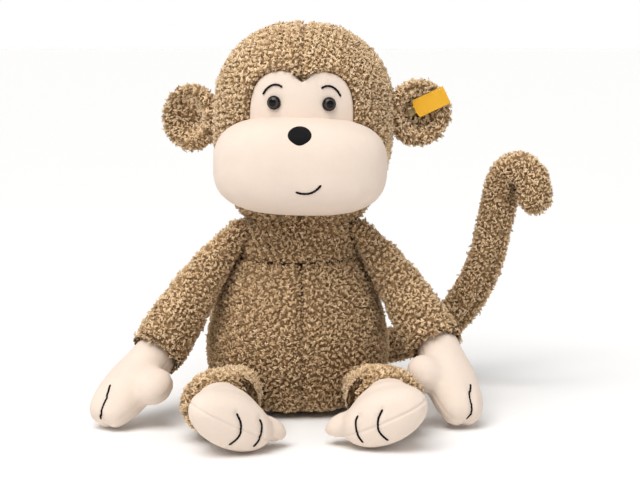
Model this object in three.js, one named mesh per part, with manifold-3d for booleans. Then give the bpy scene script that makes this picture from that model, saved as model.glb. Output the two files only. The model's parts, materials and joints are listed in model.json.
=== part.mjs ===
// A sitting plush monkey, built as its sewn panels, its stuffing and its trim.
// Millimetres, +Z up. The monkey faces -Y and sits on Z = 0 with the centre of its seat at the origin.
// Left and right are the monkey's own, so its left side is at +X.
import * as THREE from "three";
import { mergeVertices } from "three/addons/utils/BufferGeometryUtils.js";
import Module from "manifold-3d";

const wasm = await Module();
wasm.setup();

// ---- Cloth and clearances ----
const PILE = 3; // curly pile cloth, backing and pile together
const PLUSH = 1.6; // short smooth cloth of the face, hands and feet
const SEAM = 0.6; // gap between two sewn panels
const FILL_GAP = 0.5; // between a cover and its stuffing
const JOINT_GAP = 0.8; // between pieces that turn on each other
const CUT = 400; // side of a block to cut with, larger than any piece

// ---- Torso: a pear that is flat where it sits ----
const SEAT_RADIUS = 50;
const BELLY_RADIUS = 68.5;
const BELLY_HEIGHT = 42;
const CHEST_RADIUS = 46.5;
const CHEST_HEIGHT = 117;
const CHEST_SEAM_DROP = 5; // from the chest's height down to its seam
const SEAT_PANEL_RADIUS = 40;
const SEAT_PANEL_THICKNESS = 2;
const PELLET_BAG_HEIGHT = 22;
const PELLET_BAG_SQUARENESS = 2.6;

// ---- Neck: the head turns over a dome on top of the torso ----
const NECK_HEIGHT = CHEST_HEIGHT - 18; // centre of the dome
const NECK_DOME = CHEST_RADIUS + 7.5; // radius of the dome, which holds all of the torso above its centre
const NECK_LAYER = 3.6; // thickness of the neck's wad and of its thread
const NECK_WAD_ANGLE = 30;
const NECK_THREAD_ANGLES = [40, 44];

// ---- Head ----
const HEAD_RADIUS = 66.5;
const HEAD_DEPTH_SHARE = 0.94;
const HEAD_WIDEST = 99; // above the neck's centre
const HEAD_TOP = 184; // above the neck's centre
const HEAD_SHIFT = 1.5; // sideways
const HEAD_TURN = -5; // degrees about Z
const HEAD_TILT = 1.5; // degrees about Y

// ---- Face and muzzle, in the head's own frame with its origin at the neck's centre ----
const MUZZLE_HALF = new THREE.Vector3(61.5, 41, 34);
const MUZZLE_HEIGHT = 82;
const MUZZLE_FORWARD = HEAD_RADIUS * HEAD_DEPTH_SHARE - 15.5;
const MUZZLE_SQUARENESS = 2.7;
const FACE_HALF_WIDTH = 38;
const FACE_TOP = 149;
const FACE_NOTCH = 6;
const EYE_SPACING = 38.5;
const EYE_HEIGHT = 126;
const EYE_TURN = 15; // degrees outwards, square to the face
const EYE_RADIUS = 5;
const EYE_DOME = 4;
const SHANK_RADIUS = 1.6;
const SHANK_LENGTH = 9;
const WASHER_RADIUS = 6;
const WASHER_THICKNESS = 1.4;
const NOSE_HALF = new THREE.Vector3(8.8, 3, 6.6);
const NOSE_HEIGHT = 105;
const NOSE_SQUARENESS = 2.2;
const THREAD = 0.7; // radius of embroidery thread

// ---- Ears: cupped round pads on a seam that stands upright ----
const EAR_RADIUS = 26;
const EAR_THICKNESS = 13;
const EAR_CUP = 6; // depth of the hollow in front
const EAR_SQUARENESS = 2.1;
const EAR_ROOT = 5.5; // radius of the sewn edge
const EAR_NEST = 4; // how deep the sewn edge sits in the head
const EAR_OUT = 16; // from the sewn edge to the pad's centre
const EAR_HEIGHT = { right: 111, left: 119 };
const EAR_FOLD = { right: 30, left: 13 }; // degrees back from straight out
const BUTTON_RADIUS = 3.6;
const BUTTON_THICKNESS = 2.4;
const FLAG_SIZE = [24, 0.8, 13.5];
const FLAG_SLOPE = 27; // degrees up towards its end
const FLAG_LIFT = 15; // degrees away from the ear

// ---- Arms ----
const SHOULDER_RADIUS = 15;
const SHOULDER_NEST = 4; // how deep the shoulder sits in the chest
const SHOULDER_FORWARD = 20;
const CUFF_RADIUS = 21.5;
const WRIST_RADIUS = CUFF_RADIUS - PILE - 2.5;
const SLEEVE_SHORT = 4; // the sleeve ends this far before the wrist's centre
const WRIST_OUT = BELLY_RADIUS * 2.4; // clear of the belly, before each arm is drawn in by its own amount
const WRIST = {
  right: new THREE.Vector3(-WRIST_OUT + 58.4, -48, 44),
  left: new THREE.Vector3(WRIST_OUT - 66.4, -56, 49),
};
const HAND_AIM = {
  right: new THREE.Vector3(-38, -38, -40),
  left: new THREE.Vector3(14, -46, -45),
};

// ---- Hands: a palm, a pair of fingers and a thumb ----
const HAND_LENGTH = 63;
const HAND_HALF_WIDTH = 20.5;
const HAND_HALF_THICKNESS = 15.5;
const THUMB_RADIUS = 12;

// ---- Legs and feet ----
const HIP_RADIUS = 17;
const HIP_NEST = 13; // how deep the hip sits in the belly
const HIP_ANGLE = 38.3; // degrees from straight ahead
const HIP_HEIGHT = 25;
const LEG_HALF_WIDTH = 26.5;
const LEG_HALF_HEIGHT = 23;
const LEG_REACH = {
  right: new THREE.Vector3(-17, -67, 0.2),
  left: new THREE.Vector3(11, -64, 0.2),
};
const LEG_SHORT = 6; // the leg's cover ends this far before the ankle's centre
const FOOT_TURN_IN = { right: 15, left: 13 }; // degrees towards the middle
const FOOT_DROOP = 6; // degrees down
const FOOT_ROLL = { right: 33, left: 28 }; // degrees, outer side up
const FOOT_LENGTH = 39;
const FOOT_HALF_WIDTH = 30;
const FOOT_HALF_HEIGHT = 18;
const TOE_RADIUS = 10;

// ---- Tail ----
const TAIL_ROOT = new THREE.Vector3(0, BELLY_RADIUS - 6.5, 34);
const TAIL_RADIUS = 14.2;
const TAIL_ROOM = 0.9; // between the tail and the torso where it turns
const TAIL_TIP_RADIUS = 13.2;

// ---- Mesh fineness ----
const ROUND = 16; // faces round the torso and the head
const LIMB = 10; // faces round a limb
const SMALL = 8; // faces round a small piece

const SIDES = { right: -1, left: 1 };
const COLOURS = {
  pile: [0xa98862, 0.95],
  plush: [0xf3dfc9, 0.9],
  fill: [0xf4f1ea, 1.0],
  black: [0x14110f, 0.6],
  eye: [0x1b1714, 0.15],
  metal: [0x8d8468, 0.35],
  flag: [0xf2b21c, 0.7],
  white: [0xe8e8e4, 0.4],
};

const monkey = new THREE.Group();

// A closed three.js geometry as a solid that can be cut and joined.
function solid(geometry) {
  const bare = geometry.clone();
  bare.deleteAttribute("normal");
  bare.deleteAttribute("uv");
  const merged = mergeVertices(bare, 1e-4);
  return new wasm.Manifold(
    new wasm.Mesh({
      numProp: 3,
      vertProperties: new Float32Array(merged.attributes.position.array),
      triVerts: new Uint32Array(merged.index.array),
    }),
  );
}

// A solid back as a geometry.
function geometryOf(body) {
  const mesh = body.getMesh();
  const geometry = new THREE.BufferGeometry();
  geometry.setAttribute("position", new THREE.BufferAttribute(new Float32Array(mesh.vertProperties), 3));
  geometry.setIndex(new THREE.BufferAttribute(new Uint32Array(mesh.triVerts), 1));
  geometry.computeVertexNormals();
  return geometry;
}

// Adds one named piece to a group.
function addPiece(group, name, body, colour) {
  const [tint, roughness] = COLOURS[colour];
  const material = new THREE.MeshStandardMaterial({
    color: tint,
    roughness,
    metalness: colour === "metal" ? 1 : 0,
  });
  const mesh = new THREE.Mesh(geometryOf(body), material);
  mesh.name = name;
  group.add(mesh);
}

const radians = (degrees) => THREE.MathUtils.degToRad(degrees);
const vector = (x, y, z) => new THREE.Vector3(x, y, z);
const sum = (bodies) => bodies.reduce((a, b) => a.add(b));
const UP = vector(0, 0, 1);

// A smooth [radius, height] outline through a few points, moved inwards by inset, that ends on the axis.
function outline(points, steps, inset = 0) {
  const curve = new THREE.SplineCurve(points.map(([r, z]) => new THREE.Vector2(r, z)));
  return curve.getSpacedPoints(steps).map((p, i) => {
    const t = curve.getTangentAt(i / steps);
    const onAxis = i === steps || (i === 0 && points[0][0] === 0);
    const r = Math.max(0, p.x - t.y * inset);
    return new THREE.Vector2(onAxis ? 0 : r, p.y + t.x * inset);
  });
}

// A solid of revolution about Z from an outline that starts and ends on the axis, lowest point first.
function turned(profile, around) {
  return new THREE.LatheGeometry(profile, around).rotateX(Math.PI / 2);
}

// Moves each vertex of a geometry by a function of its position.
function reshaped(geometry, move) {
  const place = geometry.getAttribute("position");
  const p = new THREE.Vector3();
  for (let i = 0; i < place.count; i++) {
    move(p.fromBufferAttribute(place, i));
    place.setXYZ(i, p.x, p.y, p.z);
  }
  return geometry;
}

const ballRings = (around) => Math.round(around * 0.6);

const ball = (radius, centre, around = SMALL) =>
  solid(new THREE.SphereGeometry(radius, around, ballRings(around)).translate(...centre));

// A ball to cut with: its flat faces, not its corners, lie at the radius.
function pocket(radius, centre, around = LIMB) {
  const faces = Math.cos(Math.PI / around) * Math.cos(Math.PI / 2 / ballRings(around));
  return ball(radius / faces, centre, around);
}

const rod = (radius, length, centre, around = SMALL) =>
  solid(new THREE.CylinderGeometry(radius, radius, length, around).translate(...centre));

const block = (size, centre) => solid(new THREE.BoxGeometry(...size).translate(...centre));

// A pillow: a ball whose sides are squared off and then stretched to its half sizes.
function pillow(half, squareness, around, centre = [0, 0, 0]) {
  const shape = new THREE.SphereGeometry(1, around, ballRings(around));
  return reshaped(shape, (p) => {
    const span = [p.x, p.y, p.z].reduce((s, v) => s + Math.abs(v) ** squareness, 0) ** (1 / squareness);
    p.divideScalar(span).multiply(half);
  }).translate(...centre);
}

// The end of an outline, from the axis to the side of a ball.
const ballEnd = (radius) =>
  [-90, -60, -30].map((angle) => {
    const turn = radians(angle);
    return new THREE.Vector2(radius * Math.cos(turn), radius * Math.sin(turn));
  });

// The outline of a limb with half a ball at each end, moved inwards by inset.
// middle lists [radius, distance from the root] between them.
function limbOutline(rootRadius, middle, tipRadius, length, rings, inset) {
  const points = [[rootRadius, 0], ...middle, [tipRadius, length - tipRadius]];
  const side = new THREE.SplineCurve(points.map(([r, z]) => new THREE.Vector2(r - inset, z)));
  const root = ballEnd(rootRadius - inset);
  const tip = ballEnd(tipRadius - inset).reverse();
  const tipAt = (p) => new THREE.Vector2(p.x, length - tipRadius - p.y);
  return [...root, ...side.getSpacedPoints(rings), ...tip.map(tipAt)];
}

// Carries an outline along a path. flatness squeezes it from above.
function limb(profile, path, around, flatness = 1) {
  const length = path.getLength();
  return reshaped(turned(profile, around), (p) => {
    const share = THREE.MathUtils.clamp(p.z / length, 0, 1);
    const along = path.getTangentAt(share);
    const side = new THREE.Vector3().crossVectors(UP, along).normalize();
    const top = new THREE.Vector3().crossVectors(along, side);
    const past = p.z - share * length;
    const { x, y } = p;
    p.copy(path.getPointAt(share)).addScaledVector(along, past);
    p.addScaledVector(side, x).addScaledVector(top, y * flatness);
  });
}

// ---------------------------------------------------------------- torso
const WAIST_RADIUS = BELLY_RADIUS * 0.68 + CHEST_RADIUS * 0.32; // where the belly turns into the chest
const torsoOutline = [
  [SEAT_RADIUS, 0],
  [BELLY_RADIUS * 0.91, BELLY_HEIGHT * 0.28],
  [BELLY_RADIUS, BELLY_HEIGHT],
  [WAIST_RADIUS, (BELLY_HEIGHT + CHEST_HEIGHT) / 2],
  [CHEST_RADIUS, CHEST_HEIGHT],
  [NECK_DOME * 0.77, NECK_HEIGHT + NECK_DOME * 0.63],
  [NECK_DOME * 0.4, NECK_HEIGHT + NECK_DOME * 0.9],
  [0, NECK_HEIGHT + NECK_DOME],
];

function torsoShape(inset) {
  const side = outline(torsoOutline, 11, inset);
  return solid(turned([new THREE.Vector2(0, side[0].y), ...side], ROUND));
}

// Where the arms and legs turn.
const shoulders = {};
const hips = {};
const ankles = {};
for (const [side, sign] of Object.entries(SIDES)) {
  const out = CHEST_RADIUS + SHOULDER_RADIUS - SHOULDER_NEST;
  shoulders[side] = vector(sign * out, -SHOULDER_FORWARD, CHEST_HEIGHT);
  const ahead = BELLY_RADIUS + HIP_RADIUS - HIP_NEST;
  const angle = radians(HIP_ANGLE);
  hips[side] = vector(sign * ahead * Math.sin(angle), -ahead * Math.cos(angle), HIP_HEIGHT);
  ankles[side] = hips[side].clone().add(LEG_REACH[side]);
}

// The round room in the torso for each limb's root, with a clearance around it.
function rootRooms(clearance, around) {
  const room = (radius, centre) => pocket(radius + clearance, centre.toArray(), around);
  return sum([
    ...Object.values(shoulders).map((centre) => room(SHOULDER_RADIUS, centre)),
    ...Object.values(hips).map((centre) => room(HIP_RADIUS, centre)),
    room(TAIL_RADIUS + TAIL_ROOM, TAIL_ROOT),
  ]);
}

// A block that takes away one side of the torso: everything past a place along one direction.
function halfSpace(direction, place) {
  return block([CUT, CUT, CUT], direction.clone().multiplyScalar(place + CUT / 2).toArray());
}

function addTorso() {
  const seamHeight = CHEST_HEIGHT - CHEST_SEAM_DROP;
  const other = { left: vector(-1, 0, 0), right: vector(1, 0, 0) };
  const seatHole = rod(SEAT_PANEL_RADIUS + SEAM, PILE * 4, [0, 0, 0], ROUND).rotate([90, 0, 0]);
  const neckHole = ball(NECK_DOME * 0.4, [0, 0, NECK_HEIGHT + NECK_DOME], LIMB);
  const skin = torsoShape(0).subtract(torsoShape(PILE)).subtract(rootRooms(JOINT_GAP, LIMB));
  const open = skin.subtract(seatHole).subtract(neckHole);
  const front = open.subtract(halfSpace(vector(0, 1, 0), -SEAM / 2));
  const back = open.subtract(halfSpace(vector(0, -1, 0), -SEAM / 2));
  const belly = front.subtract(halfSpace(UP, seamHeight));
  const below = vector(0, 0, -1);
  addPiece(monkey, "chest_panel", front.subtract(halfSpace(below, -seamHeight - SEAM)), "pile");
  for (const side of Object.keys(SIDES)) {
    const otherSide = halfSpace(other[side], -SEAM / 2);
    addPiece(monkey, `belly_panel_${side}`, belly.subtract(otherSide), "pile");
    addPiece(monkey, `back_panel_${side}`, back.subtract(otherSide), "pile");
  }
  const seat = rod(SEAT_PANEL_RADIUS, SEAT_PANEL_THICKNESS, [0, 0, 0], ROUND).rotate([90, 0, 0]);
  addPiece(monkey, "seat_panel", seat.translate([0, 0, SEAT_PANEL_THICKNESS / 2]), "pile");
  addTorsoFilling();
}

// A bag of pellets on the seat, and the stuffing above it.
function addTorsoFilling() {
  const half = vector(SEAT_PANEL_RADIUS, SEAT_PANEL_RADIUS, PELLET_BAG_HEIGHT / 2);
  const centre = PILE + FILL_GAP + half.z;
  const bag = (grow) => {
    const size = half.clone().addScalar(grow);
    return solid(pillow(size, PELLET_BAG_SQUARENESS, LIMB, [0, 0, centre]));
  };
  addPiece(monkey, "pellet_bag", bag(0), "white");
  const fill = torsoShape(PILE + FILL_GAP)
    .subtract(rootRooms(PILE, SMALL))
    .subtract(halfSpace(vector(0, 0, -1), -centre))
    .subtract(bag(FILL_GAP));
  addPiece(monkey, "torso_stuffing", fill, "fill");
}

// ---------------------------------------------------------------- neck
const NECK_INNER = (NECK_DOME + JOINT_GAP) / Math.cos(Math.PI / ROUND);

// A piece of the round layer between the torso's dome and the head, between two angles from straight up.
function neckLayer(fromAngle, toAngle) {
  const outer = NECK_INNER + NECK_LAYER;
  const arc = (radius, from, to) =>
    Array.from({ length: 5 }, (_, i) => {
      const angle = radians(from + ((to - from) * i) / 4);
      return new THREE.Vector2(radius * Math.sin(angle), radius * Math.cos(angle));
    });
  const profile = [...arc(NECK_INNER, fromAngle, toAngle), ...arc(outer, toAngle, fromAngle)];
  if (fromAngle > 0) profile.push(profile[0].clone());
  return solid(turned(profile, ROUND)).translate([0, 0, NECK_HEIGHT]);
}

function addNeck() {
  addPiece(monkey, "neck_stuffing", neckLayer(0, NECK_WAD_ANGLE), "fill");
  addPiece(monkey, "neck_thread", neckLayer(...NECK_THREAD_ANGLES), "pile");
}

// ---------------------------------------------------------------- head
const NECK_OUTER = NECK_INNER + NECK_LAYER + JOINT_GAP;
const headOutline = [
  [0, NECK_DOME * 0.63],
  [NECK_DOME * 0.59, NECK_DOME * 0.63],
  [NECK_DOME * 0.83, NECK_DOME * 0.8],
  [HEAD_RADIUS * 0.88, (NECK_DOME * 0.8 + HEAD_WIDEST) * 0.465],
  [HEAD_RADIUS, HEAD_WIDEST],
  [HEAD_RADIUS * 0.965, HEAD_TOP - 47],
  [HEAD_RADIUS * 0.78, HEAD_TOP - 22],
  [HEAD_RADIUS * 0.42, HEAD_TOP - 5],
  [0, HEAD_TOP],
];

function headShape(inset, around = ROUND) {
  const shape = turned(outline(headOutline, 12, inset), around);
  return solid(shape.scale(1, HEAD_DEPTH_SHARE, 1));
}

function muzzleShape(grow, around = 16) {
  const half = MUZZLE_HALF.clone().addScalar(grow);
  return solid(pillow(half, MUZZLE_SQUARENESS, around, [0, -MUZZLE_FORWARD, MUZZLE_HEIGHT]));
}

// The face panel's outline seen from the front, run back through the head: two brows with a notch between them.
function faceColumn(grow) {
  const half = FACE_HALF_WIDTH + grow;
  const top = FACE_TOP + grow;
  const outer = new THREE.Shape();
  outer.moveTo(-half, MUZZLE_HEIGHT);
  outer.lineTo(half, MUZZLE_HEIGHT);
  outer.lineTo(half, FACE_TOP - 25);
  outer.bezierCurveTo(half, top - 8, half * 0.75, top, half * 0.45, top);
  outer.quadraticCurveTo(half * 0.2, top, 0, top - FACE_NOTCH);
  outer.quadraticCurveTo(-half * 0.2, top, -half * 0.45, top);
  outer.bezierCurveTo(-half * 0.75, top, -half, top - 8, -half, FACE_TOP - 25);
  outer.closePath();
  const depth = HEAD_RADIUS * 1.5;
  const column = new THREE.ExtrudeGeometry(outer, { depth, bevelEnabled: false, curveSegments: 5 });
  return solid(column.rotateX(Math.PI / 2));
}

// How far forward of the axis the head's skin is at a height and a distance sideways.
function skinForward(x, height) {
  const curve = outline(headOutline, 60).map((p) => [p.y, p.x]);
  const above = curve.findIndex(([z]) => z >= height && z > HEAD_WIDEST * 0.5);
  const radius = curve[above][1];
  return HEAD_DEPTH_SHARE * Math.sqrt(radius ** 2 - x ** 2);
}

// How far forward the muzzle's skin is at a height and a distance sideways.
function muzzleForward(x, height) {
  const n = MUZZLE_SQUARENESS;
  const rest = 1 - Math.abs(x / MUZZLE_HALF.x) ** n - Math.abs((height - MUZZLE_HEIGHT) / MUZZLE_HALF.z) ** n;
  return MUZZLE_FORWARD + MUZZLE_HALF.y * rest ** (1 / n);
}

// A thread laid along points given as [x, height], just proud of the surface that forward() describes.
function threadOn(points, forward) {
  const path = new THREE.CatmullRomCurve3(
    points.map(([x, z]) => vector(x, -forward(x, z) - THREAD - 0.5, z)),
  );
  const section = new THREE.Shape().absarc(0, 0, THREAD, 0, Math.PI * 2);
  return solid(
    new THREE.ExtrudeGeometry(section, { steps: 8, extrudePath: path, bevelEnabled: false, curveSegments: 3 }),
  );
}

// Turns a solid made around the origin so that its Z looks forward and its Y is near up, and moves it.
function aimed(body, forward, up, place) {
  const turn = new THREE.Matrix4().lookAt(forward, new THREE.Vector3(), up);
  return body.transform(turn.setPosition(place).elements);
}

// Half of all space, in front of a point.
const beyond = (forward, place) => aimed(block([CUT, CUT, CUT], [0, 0, CUT / 2]), forward, UP, place);

function addHead() {
  const head = new THREE.Group();
  head.position.set(HEAD_SHIFT, 0, NECK_HEIGHT);
  head.rotation.set(0, radians(HEAD_TILT), radians(HEAD_TURN), "ZYX");
  monkey.add(head);

  // The socket stays centred on the neck although the head is shifted sideways.
  const socketCentre = vector(-HEAD_SHIFT, 0, 0);
  const socket = (radius) => pocket(radius, socketCentre.toArray(), ROUND);
  const muzzleRoom = muzzleShape(SEAM);
  const face = faceColumn(SEAM);
  const grooves = sum(Object.entries(SIDES).map(([side, sign]) => earGroove(side, sign)));
  const neckHole = ball(NECK_DOME * 0.5, [0, 0, NECK_DOME], LIMB);
  const shell = headShape(0).subtract(headShape(PILE)).subtract(socket(NECK_OUTER)).subtract(neckHole);
  const cover = shell.subtract(face).subtract(muzzleRoom).subtract(grooves);
  const otherHalf = (sign) => block([CUT, CUT, CUT], [(-sign * (CUT - SEAM)) / 2, 0, 0]);
  for (const [side, sign] of Object.entries(SIDES)) {
    addPiece(head, `head_cover_${side}`, cover.subtract(otherHalf(sign)), "pile");
  }

  const muzzleSkin = muzzleShape(0).subtract(muzzleShape(-PLUSH)).subtract(headShape(-SEAM));
  addPiece(head, "muzzle_cover", muzzleSkin.subtract(socket(NECK_OUTER)), "plush");
  const muzzleFill = muzzleShape(-PLUSH - FILL_GAP).subtract(headShape(-SEAM));
  addPiece(head, "muzzle_stuffing", muzzleFill.subtract(socket(NECK_OUTER + PLUSH)), "fill");

  addFace(head, muzzleRoom);
  const eyeRooms = sum(
    Object.values(SIDES).map((sign) => {
      const room = rod(WASHER_RADIUS + 1, SHANK_LENGTH * 3, [0, 0, 0], SMALL).rotate([90, 0, 0]);
      return aimed(room, eyeForward(sign), UP, eyePlace(sign));
    }),
  );
  const headFill = headShape(PILE + FILL_GAP).subtract(socket(NECK_OUTER + PILE));
  addPiece(head, "head_stuffing", headFill.subtract(eyeRooms).subtract(grooves), "fill");
  for (const [side, sign] of Object.entries(SIDES)) addEar(head, side, sign);
}

// Where an eye sits on the face, and which way it looks.
const eyeForward = (sign) => vector(sign * Math.sin(radians(EYE_TURN)), -Math.cos(radians(EYE_TURN)), 0);

function eyePlace(sign) {
  const x = (sign * EYE_SPACING) / 2;
  return vector(x, -skinForward(x, EYE_HEIGHT), EYE_HEIGHT);
}

function addFace(head, muzzleRoom) {
  const hole = rod(SHANK_RADIUS + 0.5, SHANK_LENGTH * 3, [0, 0, 0], 8).rotate([90, 0, 0]);
  const holes = sum(Object.values(SIDES).map((sign) => aimed(hole, eyeForward(sign), UP, eyePlace(sign))));
  const skin = headShape(0).subtract(headShape(PLUSH)).intersect(faceColumn(0));
  addPiece(head, "face_panel", skin.subtract(muzzleRoom).subtract(holes), "plush");

  const domeProfile = [
    [0, 0],
    [EYE_RADIUS * 0.9, 0],
    [EYE_RADIUS, EYE_DOME * 0.3],
    [EYE_RADIUS * 0.7, EYE_DOME * 0.8],
    [0, EYE_DOME],
  ].map(([r, z]) => new THREE.Vector2(r, z));
  const shank = rod(SHANK_RADIUS, SHANK_LENGTH, [0, 0.5 - SHANK_LENGTH / 2, 0], 8).rotate([90, 0, 0]);
  const eye = solid(turned(domeProfile, SMALL)).add(shank).translate([0, 0, 0.9]);
  const washer = rod(WASHER_RADIUS, WASHER_THICKNESS, [0, 0, 0])
    .subtract(rod(SHANK_RADIUS + 0.4, WASHER_THICKNESS * 3, [0, 0, 0], 8))
    .rotate([90, 0, 0])
    .translate([0, 0, -PLUSH - 2.8]);
  for (const [side, sign] of Object.entries(SIDES)) {
    addPiece(head, `eye_${side}`, aimed(eye, eyeForward(sign), UP, eyePlace(sign)), "eye");
    addPiece(head, `eye_washer_${side}`, aimed(washer, eyeForward(sign), UP, eyePlace(sign)), "white");
    const brow = [
      [sign * 14.5, EYE_HEIGHT + 11.8],
      [sign * 20.5, EYE_HEIGHT + 11.2],
      [sign * 27, EYE_HEIGHT + 6],
    ];
    addPiece(head, `brow_${side}`, threadOn(brow, skinForward), "black");
  }
  const mouth = [
    [-1.5, MUZZLE_HEIGHT - 15.5],
    [6.5, MUZZLE_HEIGHT - 15.8],
    [15.5, MUZZLE_HEIGHT - 10],
  ];
  addPiece(head, "mouth_thread", threadOn(mouth, muzzleForward), "black");
  const noseForward = muzzleForward(0, NOSE_HEIGHT - NOSE_HALF.z * 0.3);
  const nose = solid(pillow(NOSE_HALF, NOSE_SQUARENESS, LIMB, [0, -noseForward - 1, NOSE_HEIGHT]));
  addPiece(head, "nose", nose.subtract(muzzleShape(SEAM / 2)), "black");
}

// ---------------------------------------------------------------- ears
const earSeam = (side, sign) => [sign * (HEAD_RADIUS + EAR_ROOT - EAR_NEST), 0, EAR_HEIGHT[side]];

// The groove in the head's side that the ear's sewn edge turns in.
function earGroove(side, sign) {
  const radius = (EAR_ROOT + JOINT_GAP) / Math.cos(Math.PI / LIMB);
  return rod(radius, EAR_RADIUS * 1.65, [0, 0, 0], LIMB).rotate([90, 0, 0]).translate(earSeam(side, sign));
}

// An ear is made with its seam at the origin and its front towards -Y, then folded back and moved to the head.
function addEar(head, side, sign) {
  const onHead = (body) => body.rotate([0, 0, sign * EAR_FOLD[side]]).translate(earSeam(side, sign));
  const centre = [sign * EAR_OUT, 0, 0];
  const half = vector(EAR_RADIUS, EAR_THICKNESS / 2, EAR_RADIUS);
  const inside = half.clone().subScalar(EAR_THICKNESS * 0.28);
  const cupHalf = vector(EAR_RADIUS * 0.62, EAR_CUP, EAR_RADIUS * 0.66);
  const cupPlace = [sign * (EAR_OUT - 2), -EAR_THICKNESS / 2 - 1, 0];
  const towardsHead = block([CUT, CUT, CUT], [(-sign * CUT) / 2, 0, 0]);
  const seam = rod(EAR_ROOT, EAR_RADIUS * 1.5, [0, 0, 0]).rotate([90, 0, 0]);
  const ear = solid(pillow(half, EAR_SQUARENESS, 14, centre))
    .subtract(towardsHead)
    .add(seam)
    .subtract(solid(pillow(cupHalf, 2, LIMB, cupPlace)))
    .subtract(solid(pillow(inside, EAR_SQUARENESS, LIMB, centre)));
  const behind = block([CUT, CUT, CUT], [0, (CUT - SEAM) / 2, 0]);
  const before = block([CUT, CUT, CUT], [0, (SEAM - CUT) / 2, 0]);
  addPiece(head, `ear_front_${side}`, onHead(ear.subtract(behind)), "pile");
  addPiece(head, `ear_back_${side}`, onHead(ear.subtract(before)), "pile");
  if (side === "left") addButton(head, onHead);
}

// The metal button in the left ear's hollow, and the woven flag that it holds.
function addButton(head, onHead) {
  const onEar = (body) =>
    onHead(body.rotate([0, -FLAG_SLOPE, 0]).rotate([0, 0, -FLAG_LIFT]).translate([EAR_OUT - 6, -2.1, 1]));
  const shank = rod(SHANK_RADIUS, 3.4, [0, -1.1, 0], 8);
  const cap = rod(BUTTON_RADIUS, BUTTON_THICKNESS, [0, -2.4 - BUTTON_THICKNESS / 2, 0]);
  addPiece(head, "ear_button", onEar(cap.add(shank)), "metal");
  const [length, thickness, width] = FLAG_SIZE;
  const start = BUTTON_RADIUS + 1.2;
  const tongue = new THREE.Shape([
    new THREE.Vector2(-2.6, -2.6),
    new THREE.Vector2(start, -2.6),
    new THREE.Vector2(start, -width / 2),
    new THREE.Vector2(start + length, -width / 2),
    new THREE.Vector2(start + length, width / 2),
    new THREE.Vector2(start, width / 2),
    new THREE.Vector2(start, 2.6),
    new THREE.Vector2(-2.6, 2.6),
  ]);
  const flag = solid(new THREE.ExtrudeGeometry(tongue, { depth: thickness, bevelEnabled: false }))
    .rotate([90, 0, 0])
    .translate([0, -1, 0])
    .subtract(rod(SHANK_RADIUS + 0.3, 8, [0, 0, 0], 8));
  addPiece(head, "ear_flag", onEar(flag), "flag");
}

// ---------------------------------------------------------------- arms
function addArm(side, sign) {
  const shoulder = shoulders[side];
  const wrist = WRIST[side];
  const path = new THREE.LineCurve3(shoulder, wrist);
  const length = path.getLength();
  const middle = [
    [SHOULDER_RADIUS + 0.5, length * 0.25],
    [CUFF_RADIUS - 1.5, length * 0.72],
  ];
  const sleeveEnd = length + CUFF_RADIUS;
  const arm = (inset) =>
    solid(limb(limbOutline(SHOULDER_RADIUS, middle, CUFF_RADIUS, sleeveEnd, 4, inset), path, LIMB));
  const along = path.getTangentAt(1);
  const aim = HAND_AIM[side].clone().normalize();
  // The cuff is cut halfway between the arm's direction and the hand's, and the filling a little before it.
  const cut = (short) => beyond(along.clone().add(aim), wrist.clone().addScaledVector(along, -short));
  const wadRadius = SHOULDER_RADIUS - PILE - FILL_GAP;
  const hole = rod(wadRadius * 0.6, SHOULDER_RADIUS * 2, [0, 0, 0])
    .rotate([0, 0, 90])
    .translate([shoulder.x - sign * SHOULDER_RADIUS, shoulder.y, shoulder.z]);
  const sleeve = arm(0).subtract(arm(PILE)).subtract(pocket(wadRadius + FILL_GAP, shoulder.toArray()));
  addPiece(monkey, `sleeve_${side}`, sleeve.subtract(hole).subtract(cut(SLEEVE_SHORT)), "pile");
  addPiece(monkey, `shoulder_stuffing_${side}`, ball(wadRadius, shoulder.toArray(), 8), "fill");
  const handRoom = pocket(WRIST_RADIUS + JOINT_GAP, wrist.toArray());
  const fill = fillFrom(arm(PILE + FILL_GAP), path, wadRadius);
  addPiece(monkey, `arm_stuffing_${side}`, fill.subtract(handRoom).subtract(cut(SLEEVE_SHORT + PILE)), "fill");
  addHand(side, sign, aim);
}

// A limb's filling starts halfway along the round wad at its root and wraps round it.
function fillFrom(filling, path, wadRadius) {
  const start = path.getPointAt(0);
  const along = path.getTangentAt(0);
  const before = beyond(along.clone().negate(), start.clone().addScaledVector(along, FILL_GAP));
  return filling.subtract(before).subtract(pocket(wadRadius + FILL_GAP, start.toArray(), SMALL));
}

// ---------------------------------------------------------------- hands and feet
// A mitten: Z runs from the joint to the tips, X across it and Y out of its back. Its root is a ball.
function mitten(profile, flatness, thumb, inset) {
  const root = ballEnd(profile[0][0] - inset);
  const pad = reshaped(turned([...root, ...outline(profile, 7, inset)], LIMB), (p) => {
    p.y *= THREE.MathUtils.lerp(1, flatness, THREE.MathUtils.smoothstep(p.z, 2, 20));
  });
  const half = thumb.half.clone().subScalar(inset);
  return solid(pad).add(solid(pillow(half, 2, SMALL, thumb.place)));
}

// Sews a mitten from a back and a front, open at its root, and fills it.
function addMitten(names, shape, forward, up, place, rootRadius) {
  const open = block([CUT, CUT, CUT], [0, 0, -rootRadius * 0.75 - CUT / 2]);
  const skin = shape(0).subtract(shape(PLUSH)).subtract(open);
  const upper = block([CUT, CUT, CUT], [0, (CUT + SEAM) / 2, 0]);
  const lower = block([CUT, CUT, CUT], [0, -(CUT + SEAM) / 2, 0]);
  addPiece(monkey, names[0], aimed(skin.intersect(upper), forward, up, place), "plush");
  addPiece(monkey, names[1], aimed(skin.intersect(lower), forward, up, place), "plush");
  addPiece(monkey, names[2], aimed(shape(PLUSH + FILL_GAP), forward, up, place), "fill");
}

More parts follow.
